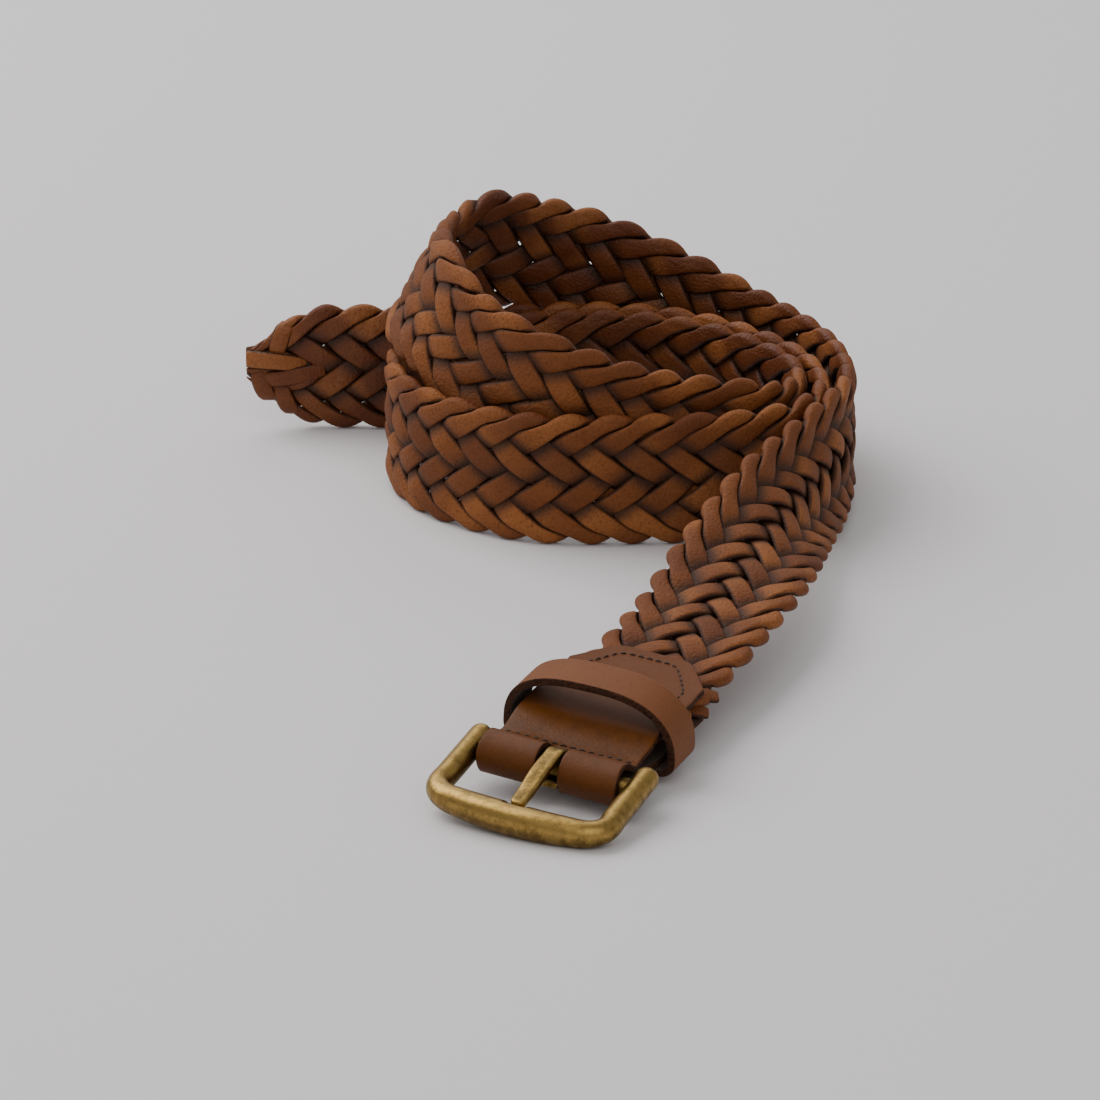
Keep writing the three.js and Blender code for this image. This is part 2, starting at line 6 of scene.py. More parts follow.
import bpy
import numpy as np
from bpy.props import FloatProperty, FloatVectorProperty, PointerProperty
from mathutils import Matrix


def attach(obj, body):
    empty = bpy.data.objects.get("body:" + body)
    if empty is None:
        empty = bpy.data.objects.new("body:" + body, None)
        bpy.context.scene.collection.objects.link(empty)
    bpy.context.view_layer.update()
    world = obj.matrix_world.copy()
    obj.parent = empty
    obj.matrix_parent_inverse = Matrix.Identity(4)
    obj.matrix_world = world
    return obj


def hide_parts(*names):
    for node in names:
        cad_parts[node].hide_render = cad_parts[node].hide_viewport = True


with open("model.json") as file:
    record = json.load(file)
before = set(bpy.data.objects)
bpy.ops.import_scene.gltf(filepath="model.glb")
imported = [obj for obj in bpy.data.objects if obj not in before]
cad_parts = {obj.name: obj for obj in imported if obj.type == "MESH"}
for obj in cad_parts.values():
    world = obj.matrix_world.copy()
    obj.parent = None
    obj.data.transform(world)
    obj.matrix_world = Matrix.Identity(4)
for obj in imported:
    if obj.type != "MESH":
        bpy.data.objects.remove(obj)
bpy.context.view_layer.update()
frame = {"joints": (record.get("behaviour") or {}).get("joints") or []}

bl_info = {
    "name": "Braided belt",
    "version": (1, 0, 0),
    "blender": (4, 5, 0),
    "location": "3D View > Sidebar > Belt",
    "description": "Braided leather belt with its end leather, keeper, stitches and brass buckle",
    "category": "Object",
}

MM = 0.001

# Band, in millimetres
BELT_WIDTH = 35
BAND_THICKNESS = 4.4
TAIL_TAPER = 23
TAIL_TIP_SHARE = 0.2
END_NARROWING = 0.88
END_NARROWING_RUN = 26
BRAID_START = 18.5
STRAND_PITCH = 10.6
COIL_SIZE = 100.8
ROUTE_SAMPLES = 4000

# End leather
LEATHER = 1.6
LEATHER_WIDTH = 34.5
TAB_LENGTH = 52.5
TAB_END_WIDTH = 18
TAB_END_RUN = 12
CLEARANCE = 0.35
STITCH_FROM_BAR = 6.8
PINCH_RUN = 1
PINCH_GAP = 0.5
FOLD_STAND = 0.5
FOLD_OPENING = 50
FOLD_LINE_STEP = 0.25
TAB_OVERHANG = 1
TAB_CORNER = 1.2
WAVE_HEIGHT = 0.16
WORN_EDGE = 0.12
WORN_EDGE_WIDTH = 1.5
SLOT_WIDTH = 6
SLOT_REACH = 5
ROW_STEP = 0.7

# Keeper
KEEPER_LEATHER = 1.9
KEEPER_FROM_BAR = 17
KEEPER_WIDTH = 11
KEEPER_SIDE_ROOM = 2.6
KEEPER_RISE = 6.6
KEEPER_SQUARENESS = 2.6
KEEPER_CORNER = 2.6

# Buckle
ARM_RADIUS = 2.8
ARM_SPACING = 41.6
ARM_TAIL = 7
BAR_RADIUS = 2
FRAME_REACH = 18.9
FRAME_CORNER = 6
FRONT_RADIUS = 3.7
FRONT_BOW = 2.2
FRONT_RUN_START = 0.6
FRONT_FLARE = 0.04
FRONT_RIDGE = 0.045
LEAST_RADIUS = 0.02
FRAME_LINE_STEP = 0.1
NOTCH_EDGE = 0.9
FRAME_DROP = 6.95
TONGUE_WIDTH = 4.2
TONGUE_THICKNESS = 1.8
CURL_ROOM = 0.9
CURL_START = -145
CURL_END = 100
TIP_SHORT = 2
TIP_WIDTH_SHARE = 0.88
TIP_TAPER = 12
TIP_HEIGHT = 2.3

# Camera, aimed at the route's own origin
CAMERA_ELEVATION = 21.5
CAMERA_DISTANCE = 1250
CAMERA_LENS = 161.6

# The band's way from the tail to the buckle: shares of COIL_SIZE along and across, the lower
# edge's lift as a share of BELT_WIDTH, lean in degrees, width as a share of BELT_WIDTH.
ROUTE = np.array([
    (-0.81, 0.9, 0, 0, 1), (-0.6, 0.9, 0, 0, 1), (-0.4, 0.9, 0, 0, 1),
    (-0.18, 0.905, 0, 0, 1), (0.02, 0.92, 0, 0, 1), (0.2, 0.915, 0, 0, 1),
    (0.33, 0.875, 0, 0, 1), (0.45, 0.8, 0, 0, 1), (0.56, 0.69, 0, 0, 1),
    (0.645, 0.56, 0, 0, 1), (0.69, 0.405, 0, 0, 1), (0.675, 0.25, 0, 0, 1),
    (0.59, 0.135, 0, 0, 1), (0.45, 0.07, 0, 0, 1), (0.28, 0.05, 0, 0, 1),
    (0.1, 0.042, 0, 0, 1), (-0.06, 0.062, 0, 0, 1), (-0.205, 0.145, 0, 0, 1),
    (-0.32, 0.26, 0, 0, 1), (-0.393, 0.42, 0, 0, 1), (-0.4, 0.575, 0, 0, 1),
    (-0.335, 0.725, 0, 0, 1), (-0.2, 0.815, 0, 0, 1), (-0.03, 0.855, 0, 0, 1),
    (0.16, 0.86, 0, 0, 1), (0.33, 0.81, 0, 0, 1), (0.47, 0.71, 0, 0, 1),
    (0.58, 0.575, 0, 0, 1), (0.635, 0.42, 0, 0, 1), (0.595, 0.275, 0.03, 0, 1),
    (0.47, 0.17, 0.15, 0, 1), (0.3, 0.108, 0.27, 0, 1), (0.12, 0.097, 0.43, 0, 1),
    (-0.06, 0.125, 0.63, 1, 1), (-0.195, 0.232, 0.79, 5, 1), (-0.285, 0.36, 0.96, 15, 1),
    (-0.33, 0.5, 1.015, 24, 1), (-0.335, 0.645, 1.02, 28, 1), (-0.285, 0.785, 1.015, 27, 1),
    (-0.19, 0.9, 1, 22, 1), (-0.06, 0.98, 0.86, 13, 1), (0.09, 1.015, 0.7, 5, 1),
    (0.27, 1.005, 0.49, 1, 1), (0.44, 0.97, 0.26, 0, 1), (0.6, 0.885, 0.07, 0, 1),
    (0.712, 0.72, 0.005, 0, 1), (0.76, 0.51, 0, 0, 1), (0.755, 0.31, 0.02, 2, 1),
    (0.715, 0.15, 0.06, 10, 0.97), (0.65, -0.025, 0.11, 25, 0.92), (0.58, -0.21, 0.19, 43, 0.92),
    (0.51, -0.41, 0.27, 63, 0.95), (0.445, -0.59, 0.32, 77, 1), (0.38, -0.755, 0.32, 84, 1),
    (0.315, -0.915, 0.3, 86, 1), (0.24, -1.07, 0.26, 86.5, 1), (0.135, -1.275, 0.205, 86.5, 1),
    (0.01, -1.521, 0.139, 86.5, 1),
])

# The prong's middle line between curl and tip: share of the way to the tip, and height as a
# share of the curl's middle radius.
PRONG = np.array([(0.3, 0.98), (0.55, 0.8), (0.8, 0.62)])

# Route

def natural_spline(knots, values, at):
    """The natural cubic spline through the rows of values at the knots, both ends free, read at
    the places in at: each span is the cubic with the solved second derivatives at its two ends."""
    gaps = np.diff(knots)
    slopes = np.diff(values, axis=0) / gaps[:, None]
    system = np.eye(len(knots))
    inner = np.arange(1, len(knots) - 1)
    system[inner, inner - 1] = gaps[:-1]
    system[inner, inner] = 2 * (gaps[:-1] + gaps[1:])
    system[inner, inner + 1] = gaps[1:]
    right = np.zeros_like(values)
    right[1:-1] = 6 * np.diff(slopes, axis=0)
    bend = np.linalg.solve(system, right)
    i = np.clip(np.searchsorted(knots, at, side="right") - 1, 0, len(knots) - 2)
    span = gaps[i][:, None]
    t = (at - knots[i])[:, None]
    slope = slopes[i] - span * (2 * bend[i] + bend[i + 1]) / 6
    return values[i] + t * slope + t**2 * bend[i] / 2 + t**3 * (bend[i + 1] - bend[i]) / (6 * span)


def unit(vectors):
    """Each row divided by its own length."""
    return vectors / np.linalg.norm(vectors, axis=-1, keepdims=True)


def directions(points):
    """The unit vector from each point's neighbour before to its neighbour after."""
    return unit(np.vstack([points[1:], points[-1:]]) - np.vstack([points[:1], points[:-1]]))


def distances(line):
    """How far each point of a line lies from its start, along its straight steps."""
    return np.concatenate([[0], np.cumsum(np.linalg.norm(np.diff(line, axis=0), axis=1))])


def read(places, knots, rows):
    """The rows' values at the places, blended straight between the knots."""
    return np.stack([np.interp(places, knots, column) for column in rows.T], axis=-1)


def points_of(x, y, z):
    """Points of three coordinates, each spread over the rows and columns of the others."""
    return np.stack(np.broadcast_arrays(x, y, z), axis=-1)


def circle(count):
    """Angles evenly spread round a circle, from 0."""
    return np.linspace(0, 2 * np.pi, count, endpoint=False)


def band_axes(direction, lean):
    """Upright is Z made perpendicular to the direction, outward their cross product; up and out
    are those two turned by the lean about the direction."""
    upright = unit(np.array([0, 0, 1]) - direction * direction[:, 2:])
    outward = np.cross(upright, direction)
    cos, sin = np.cos(lean)[:, None], np.sin(lean)[:, None]
    return cos * upright - sin * outward, cos * outward + sin * upright


class Route:
    """The band's centre line as samples: distance from the tail, centre, up, out and width."""

    def __init__(self):
        rows = ROUTE * [COIL_SIZE, COIL_SIZE, BELT_WIDTH, math.radians(1), 1]
        knots = distances(rows[:, :3])
        samples = natural_spline(knots, rows, np.linspace(0, knots[-1], ROUTE_SAMPLES))
        centre, lean, self.width = samples[:, :3].copy(), samples[:, 3], samples[:, 4]
        up, out = band_axes(directions(centre), lean)
        half_up = BELT_WIDTH / 2 * self.width * np.abs(up[:, 2])
        centre[:, 2] += half_up + BAND_THICKNESS / 2 * np.abs(out[:, 2])
        self.direction = directions(centre)
        self.up, self.out = band_axes(self.direction, lean)
        self.centre = centre
        self.distance = distances(centre)
        self.length = self.distance[-1]

    def place(self, points):
        """Points of along, across and outward brought to their place: centre(along) + across
        times up(along) + outward times out(along)."""
        along, across, outward = np.moveaxis(points, -1, 0)[..., None]
        samples = (self.centre, self.up, self.out)
        centre, up, out = (read(along[..., 0], self.distance, rows) for rows in samples)
        return centre + across * up + outward * out


route = Route()
hinge = np.array(frame["joints"][0]["pos_m"]) / MM
SHIFT = hinge - route.centre[-1]
END_AXES = np.stack([-route.direction[-1], route.up[-1], route.out[-1]])


def strap_end(points):
    """Points of the buckle end, x back along the strap from the bar, y towards the strap's left
    edge and z out of it, brought into the route's millimetres."""
    return route.centre[-1] + points @ END_AXES


def buckle_end(points):
    """Points of the buckle, turned down about the bar by the frame's drop."""
    drop = math.radians(FRAME_DROP)
    cos, sin = math.cos(drop), math.sin(drop)
    x, y, z = np.moveaxis(points, -1, 0)
    return strap_end(points_of(x * cos - z * sin, y, x * sin + z * cos))


def smooth(share):
    """0 below 0, 1 above 1, and a smooth S between: 3 share squared less 2 share cubed."""
    share = np.clip(share, 0, 1)
    return share * share * (3 - 2 * share)


def signed_power(values, power):
    """Each value's size raised to the power, its sign kept."""
    return np.sign(values) * np.abs(values) ** power


def round_end(distance, reach):
    """A quarter circle: 0 at an end, 1 from the reach on."""
    return np.sqrt(1 - (1 - np.clip(distance / reach, 0, 1)) ** 2)


def wander(places, seed, wave):
    """A slow random curve between about -1 and 1: three sines of the places, their lengths near
    the given wave and their starts drawn from the seed."""
    draw = np.random.default_rng(seed)
    waves = wave * draw.uniform(0.7, 1.6, 3)
    starts = draw.uniform(0, 2 * np.pi, 3)
    return sum(np.sin(2 * np.pi * places / w + s) for w, s in zip(waves, starts)) / 2.2


# Meshes

def grid_quads(rows, columns, closed):
    """The quads between neighbouring rows and columns of a grid of points, numbered row by row;
    closed joins the last column to the first."""
    i = np.arange(rows - 1)[:, None]
    j = np.arange(columns if closed else columns - 1)[None, :]
    after = (j + 1) % columns
    quads = [i * columns + j, i * columns + after, (i + 1) * columns + after, (i + 1) * columns + j]
    return np.stack(quads, axis=-1).reshape(-1, 4)


def make_piece(name, points, faces, materials, body, slot, values=None):
    """A mesh object of points in route millimetres and faces, which are arrays of equal corner
    counts. values holds one number for each point under each attribute's name."""
    counts = np.concatenate([np.full(len(part), part.shape[1]) for part in faces])
    corners = np.concatenate([part.ravel() for part in faces])
    mesh = bpy.data.meshes.new(name)
    mesh.vertices.add(len(points))
    mesh.vertices.foreach_set("co", ((points + SHIFT) * MM).astype(np.float32).ravel())
    mesh.loops.add(len(corners))
    mesh.loops.foreach_set("vertex_index", corners.astype(np.int32))
    mesh.polygons.add(len(counts))
    starts = np.concatenate([[0], np.cumsum(counts)[:-1]])
    mesh.polygons.foreach_set("loop_start", starts.astype(np.int32))
    mesh.polygons.foreach_set("use_smooth", np.ones(len(counts), bool))
    for key, numbers in (values or {}).items():
        attribute = mesh.attributes.new(key, "FLOAT", "POINT")
        attribute.data.foreach_set("value", numbers.astype(np.float32).ravel())
    mesh.update(calc_edges=True)
    for material in materials:
        mesh.materials.append(material)
    piece = bpy.data.objects.new(name, mesh)
    bpy.context.scene.collection.objects.link(piece)
    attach(piece, body)
    return piece


def tube(rings):
    """Faces of a tube of rings of points, rows by places round: quads and the two end caps."""
    rows, places = rings.shape[:2]
    first = np.arange(places)[::-1][None, :]
    last = np.arange(places)[None, :] + (rows - 1) * places
    return [grid_quads(rows, places, True), first, last]


def make_rod(name, rings, finish, body, slot, values=None):
    """A piece whose surface is one tube through the rings, closed at both ends."""
    return make_piece(name, rings.reshape(-1, 3), tube(rings), [finish], body, slot, values)


def joined(parts):
    """The points and faces of several parts as those of one: each part's faces are numbered on
    past the points before it."""
    points, faces, count = [], [], 0
    for made, sides in parts:
        points.append(made)
        faces += [side + count for side in sides]
        count += len(made)
    return np.vstack(points), faces


def leather_wall(piece, thickness, bevel):
    """Gives a mid-surface its thickness and rounded cut edges; the cut edges take the last
    material, and the far side the one before it."""
    wall = piece.modifiers.new("thickness", "SOLIDIFY")
    wall.thickness = thickness * MM
    wall.offset = 0
    wall.material_offset = 1
    wall.material_offset_rim = 2
    edge = piece.modifiers.new("worn_edges", "BEVEL")
    edge.width = bevel * MM
    edge.segments = 3
    edge.limit_method = "ANGLE"
    edge.angle_limit = math.radians(50)
    piece.modifiers.new("shading", "WEIGHTED_NORMAL")


# Shader nodes

class Socket:
    """A node's output in a Python expression: each operator adds a Math node."""

    def __init__(self, finish, link):
        self.finish = finish
        self.link = link

    def math(self, operation, first, second):
        settings = {"operation": operation}
        return self.finish.node("ShaderNodeMath", settings, {0: first, 1: second})

    def __add__(self, other):
        return self.math("ADD", self, other)

    __radd__ = __add__

    def __sub__(self, other):
        return self.math("SUBTRACT", self, other)

    def __rsub__(self, other):
        return self.math("SUBTRACT", other, self)

    def __mul__(self, other):
        return self.math("MULTIPLY", self, other)

    __rmul__ = __mul__


class Finish:
    """A material in the making."""

    def __init__(self, name):
        self.material = bpy.data.materials.new(name)
        self.material.use_nodes = True
        self.tree = self.material.node_tree
        self.tree.nodes.clear()

    def node(self, kind, settings=None, sockets=None, output=0):
        """Adds a node: its settings first, then each socket's value or link. Gives back the
        output, or nothing from a node without one."""
        node = self.tree.nodes.new(kind)
        for key, value in (settings or {}).items():
            setattr(node, key, value)
        for key, value in (sockets or {}).items():
            if isinstance(value, Socket):
                self.tree.links.new(value.link, node.inputs[key])
            else:
                node.inputs[key].default_value = value
        return Socket(self, node.outputs[output]) if node.outputs else None

    def attribute(self, name):
        return self.node("ShaderNodeAttribute", {"attribute_name": name}, output="Fac")

    def place(self, stretch=(1, 1, 1)):
        """Object coordinates, stretched along each axis."""
        here = self.node("ShaderNodeTexCoord", output="Object")
        return self.node("ShaderNodeMapping", sockets={"Vector": here, "Scale": stretch})

    def noise(self, scale, detail=3, roughness=0.55, at=None):
        at = at or self.place()
        sockets = {"Vector": at, "Scale": scale, "Detail": detail, "Roughness": roughness}
        return self.node("ShaderNodeTexNoise", sockets=sockets)

    def pebbles(self, scale):
        """Distance to the nearest cell centre: domes with narrow valleys between them."""
        settings = {"feature": "SMOOTH_F1"}
        sockets = {"Vector": self.place(), "Scale": scale, "Smoothness": 0.6}
        return self.node("ShaderNodeTexVoronoi", settings, sockets, output="Distance")

    def between(self, value, low, high):
        """0 where the value is below low, 1 above high, smooth between."""
        settings = {"interpolation_type": "SMOOTHSTEP"}
        sockets = {"Value": value, "From Min": low, "From Max": high}
        return self.node("ShaderNodeMapRange", settings, sockets)

    def mix(self, share, first, second):
        """The first colour where the share is 0, the second where it is 1."""
        settings = {"data_type": "RGBA"}
        return self.node("ShaderNodeMix", settings, {0: share, 6: first, 7: second}, output=2)

    def bump(self, height, distance, strength, normal=None):
        sockets = {"Height": height, "Distance": distance, "Strength": strength}
        if normal:
            sockets["Normal"] = normal
        return self.node("ShaderNodeBump", sockets=sockets)

    def done(self, colour, roughness, others=None):
        """Ends the material with a Principled shader of these sockets."""
        sockets = {"Base Color": colour, "Roughness": roughness, **(others or {})}
        shader = self.node("ShaderNodeBsdfPrincipled", sockets=sockets)
        self.node("ShaderNodeOutputMaterial", sockets={"Surface": shader})
        return self.material


def shade(colour, factor):
    """A colour made lighter or darker by a factor, with full alpha."""
    return tuple(channel * factor for channel in colour[:3]) + (1,)


def braid_finish(colours):
    """Pebbled leather strands: matt and lighter on the band's outer face, darker and glossier on
    its inner face, that darkness partly the face's own redder tone and partly painted shade; their
    cut edges dark, and painted shade where each strand dives under its neighbour."""
    finish = Finish("braided_leather")
    side = finish.between(finish.attribute("side"), -0.25, 0.25)
    edge = finish.between(finish.attribute("edge"), 0.76, 0.98)
    tone = finish.attribute("tone")
    cloudy = finish.noise(70, 4)
    fine = finish.noise(1300, 3)
    pebbles = finish.pebbles(1500)
    # The inner face's colour is partly its own redder tone and partly painted shade.
    colour = finish.mix(side, colours.inner[:], colours.outer[:])
    colour = finish.mix(finish.between(cloudy, 0.35, 0.7) * 0.45, colour, colours.worn[:])
    colour = finish.mix((1 - tone) * 0.62, colour, shade(colours.inner, 0.7))
    colour = finish.mix(finish.between(tone, 0.55, 0.95) * 0.7, colour, colours.worn[:])
    colour = finish.mix(finish.between(fine, 0.48, 0.7) * 0.5, colour, shade(colours.inner, 0.75))
    # Painted shade: each strand darkens towards the cut edge colour where it dives under its
    # neighbour.
    dive = finish.between(finish.attribute("dive"), 0.05, 0.9)
    colour = finish.mix(dive * 0.85, colour, colours.cut[:])
    colour = finish.mix(edge * 0.88, colour, colours.cut[:])
    roughness = 0.42 + side * 0.2 + fine * 0.12
    grain = finish.bump(pebbles, 0.0002, 0.8)
    grain = finish.bump(fine, 0.0003, 0.8, grain)
    return finish.done(colour, roughness, {"Normal": grain, "Specular IOR Level": 0.28})


def smooth_leather_finish(name, colour, dark, gloss, second=None):
    """Smooth leather with fine pores and soft clouds. second is the colour and gloss of the
    stretch near the buckle, where the attribute front is 1; that colour is partly the leather's
    own warmer tone and partly painted shade from the keeper."""
    finish = Finish(name)
    cloudy = finish.noise(55, 4)
    pores = finish.pebbles(1500)
    fine = finish.noise(1300, 2)
    base = finish.mix(finish.between(cloudy, 0.3, 0.75) * 0.5, colour[:], shade(colour, 0.82))
    roughness = 1 - gloss + fine * 0.1
    if second:
        # Near the buckle the colour turns to second, partly the leather's own tone and partly painted
        # shade from the keeper.
        front = finish.attribute("front")
        streak = finish.between(finish.noise(240, 3), 0.35, 0.7)
        front_tone_and_keeper_shade = finish.mix(streak * 0.55, second[:], shade(second, 0.55))
        base = finish.mix(front, base, front_tone_and_keeper_shade)
        roughness = roughness - front * 0.22
    base = finish.mix(finish.between(fine, 0.55, 0.8) * 0.35, base, dark[:])
    grain = finish.bump(pores, 0.00008, 0.5)
    grain = finish.bump(cloudy, 0.0006, 0.35, grain)
    return finish.done(base, roughness, {"Normal": grain, "Specular IOR Level": 0.2})


def cut_edge_finish(colours):
    """Burnished cut leather: near black brown with short fibres."""
    finish = Finish("burnished_edge")
    fibres = finish.noise(1400, 4, 0.7)
    colour = finish.mix(finish.between(fibres, 0.35, 0.65), colours.cut[:], shade(colours.cut, 3.2))
    grain = finish.bump(fibres, 0.0002, 0.6)
    return finish.done(colour, 0.75, {"Normal": grain, "Specular IOR Level": 0.12})


def wall_finishes(colours, outside, inside, colour, second=None):
    """The finishes of a leather wall, named outside and inside: smooth, rough, and the cut edge."""
    smooth_side = smooth_leather_finish(outside, colour, colours.cut, SMOOTH_GLOSS, second)
    rough_side = smooth_leather_finish(inside, colours.suede, colours.cut, FLESH_GLOSS)
    return [smooth_side, rough_side, cut_edge_finish(colours)]


def thread_finish(colours):
    """Waxed thread, finely mottled between its colour and half of it."""
    finish = Finish("waxed_thread")
    fine = finish.noise(2500, 2)
    colour = finish.mix(fine, colours.thread[:], shade(colours.thread, 0.5))
    return finish.done(colour, 0.6)


def brass_finish(colours):
    """Antique brass: warm metal with fine brushing, small pits and darker patina, which is thinner
    where the attribute rub is higher."""
    finish = Finish("antique_brass")
    stretched = finish.place((1, 1, 3))
    patches = finish.noise(420, 5, 0.7)
    brushed = finish.noise(1800, 3, 0.6, stretched)
    pits = finish.between(finish.noise(2600, 2), 0.62, 0.75)
    patina_thinning = finish.attribute("patina_thinning")
    dark = finish.between(patches - patina_thinning * 0.2, 0.2, 0.62)
    colour = finish.mix(dark * 0.85, colours.brass[:], colours.patina[:])
    colour = finish.mix(pits * 0.6, colour, shade(colours.patina, 0.5))
    roughness = 0.26 + dark * 0.16 + brushed * 0.08 + pits * 0.2
    grain = finish.bump(brushed, 0.00006, 0.5)
    grain = finish.bump(patches, 0.0004, 0.25, grain)
    return finish.done(colour, roughness, {"Normal": grain, "Metallic": 1.0})


# Properties

def colour_choice(name, description, value):
    return FloatVectorProperty(
        name=name, description=description, default=(*value, 1), subtype="COLOR", size=4, min=0, max=1
    )


def length_choice(name, description, value):
    """A length in metres, its default given in millimetres."""
    return FloatProperty(name=name, description=description, default=value * MM, unit="LENGTH")


class BeltSizes(bpy.types.PropertyGroup):
    strand_width: length_choice("Strand width", "Width of one leather strand", 6.35)
    strand_thickness: length_choice("Strand thickness", "Thickness of one strand", 2.0)
    scallop: length_choice("Scallop", "How far the edge sinks between two strand turns", 1.9)
    tilt: length_choice("Tilt", "How far each strand's side towards the buckle is raised", 0.34)
    strand_step: length_choice("Row spacing", "Distance of the rows along a strand", 1.15)
    stitch_length: length_choice("Stitch length", "Visible length of one stitch", 1.65)
    stitch_gap: length_choice("Stitch gap", "Gap between two stitches", 0.55)
    stitch_inset: length_choice("Stitch inset", "How far the tab's row lies inside its edge", 3.6)
    thread_thickness: length_choice("Thread", "Thickness of the sewing thread", 0.42)


class BeltColours(bpy.types.PropertyGroup):
    outer: colour_choice("Outer face", "Braid's outer face", (0.182, 0.0515, 0.008))
    # Partly the inner face's own redder tone, partly painted shade.
    inner: colour_choice("Inner face", "Braid's inner face", (0.115, 0.026, 0.004))
    worn: colour_choice("Worn", "Lighter worn patches of the braid", (0.275, 0.0935, 0.022))
    # Also the colour of the painted shade where strands dive under their neighbours.
    cut: colour_choice("Cut edge", "Cut and burnished leather edges", (0.02, 0.008, 0.004))
    tab: colour_choice("End leather", "End leather's upper face", (0.12, 0.037, 0.0092))
    # Painted light: lighter than the end leather's colour, to offset the shade on the keeper's face
    # towards the camera.
    keeper: colour_choice("Keeper", "Outer face of the keeper loop", (0.17, 0.058, 0.0185))
    # Partly the leather's own warmer tone, partly painted shade from the keeper over the stretch
    # between keeper and stitches.
    fold: colour_choice("Fold", "End leather near the buckle", (0.105, 0.03, 0.0012))
    suede: colour_choice("Flesh side", "Rough inner side of the leather", (0.07, 0.05, 0.038))
    thread: colour_choice("Thread", "Sewing thread", (0.03, 0.013, 0.006))
    brass: colour_choice("Brass", "Buckle's bright metal", (0.37, 0.235, 0.065))
    patina: colour_choice("Patina", "Buckle's darkened metal", (0.1, 0.062, 0.02))
    floor: colour_choice("Floor", "Pale studio floor", (0.7, 0.68, 0.685))


# Braid

STRANDS = 9
CROSSINGS = 9
EDGE_SOFTNESS = 1.6
EDGE_TURN = 1.1
EDGE_ZONE = 0.35
EDGE_BLEND = 0.9
CAMBER = 0.3
FACE_POINTS = 13
ARCH = 1.38
DIVE_LENGTH = 1.7
TAIL_THINNING = 0.55
TAIL_THIN_RUN = 20
WOBBLE = 0.3
WIDTH_VARIATION = 0.06
LEVEL_VARIATION = 0.1
ROW_CROWDING = 2.2
CROWDED_CROSSINGS = 0.8
SCALLOP_START = 0.72
SMALL_STEP = 0.02
STRIP_ROWS = 60
STRIP_THICKNESS_SHARE = 0.85
STRIP_FROM_BAR = -10

# Short strips that close the tail and peep out beside the end leather: which way their width
# points, tone, width in mm, and the middle line as along, across, outward in mm. An along below
# STRIP_FROM_BAR counts back from the bar.
SHORT_STRIPS = (
    (
        (0, 1, 0), 1, 5,
        ((11, 3.4, 1), (4, 2.9, 1.9), (-0.8, 2.4, 0.1), (4, 2.3, -2), (11, 1.6, -2), (16, 0.4, -0.6)),
    ),
    ((0, 1, 0), 0.6, 4.8, ((4, -3.4, -0.8), (8, -3.1, -1.8), (14, -2.1, -2), (21, -0.6, -0.8))),
    ((1, 0, 0), 0.3, 5, ((3, -1.6, -1), (4.2, -5, -1.6), (6.2, -8.6, -0.8), (7, -9.3, 0.6))),
    ((1, 0, 0), 0.5, 5, ((9, -5, -1), (10, -8, -1.8), (12.2, -12.4, -0.9), (13, -13.2, 0.6))),
    ((1, 0, 0), 0.8, 5, ((8, 3.6, -1), (8.8, 6.5, -1.7), (10.6, 11, -0.8), (11.4, 11.8, 0.6))),
    ((1, 0, 0), 0.1, 4.6, ((-43, -12.5, 0.4), (-45.5, -15.5, 0.3), (-47.5, -18, -0.4))),
    ((1, 0, 0), 0.2, 4.4, ((-38, -12.5, -0.4), (-40, -16, -0.8), (-41.5, -18.4, -1.6))),
)


def strand_level(phase):
    """How far out a strand lies at a phase counted in crossings from an edge, in layers: over two
    crossings, under two, over two, under two, arching by ARCH with a smooth S between."""
    phase = phase % CROSSINGS
    level = np.ones_like(phase)
    for turn, down in ((2.5, -1), (4.5, 1), (6.5, -1)):
        level = level + 2 * down * smooth((phase - turn) / DIVE_LENGTH + 0.5)
    return level * ARCH


def strand_section():
    """A strand's section: places across it from -1 to 1, evenly spread on both faces, and the
    rise (1 - side^4)^0.275 off its middle, which makes a flat face with rounded corners."""
    flat = np.linspace(1, -1, FACE_POINTS)
    side = np.concatenate([flat, flat[-2:0:-1]])[None, :]
    face = np.where(np.arange(side.size) < flat.size, -1, 1)
    return side, face * (1 - side**4) ** 0.275


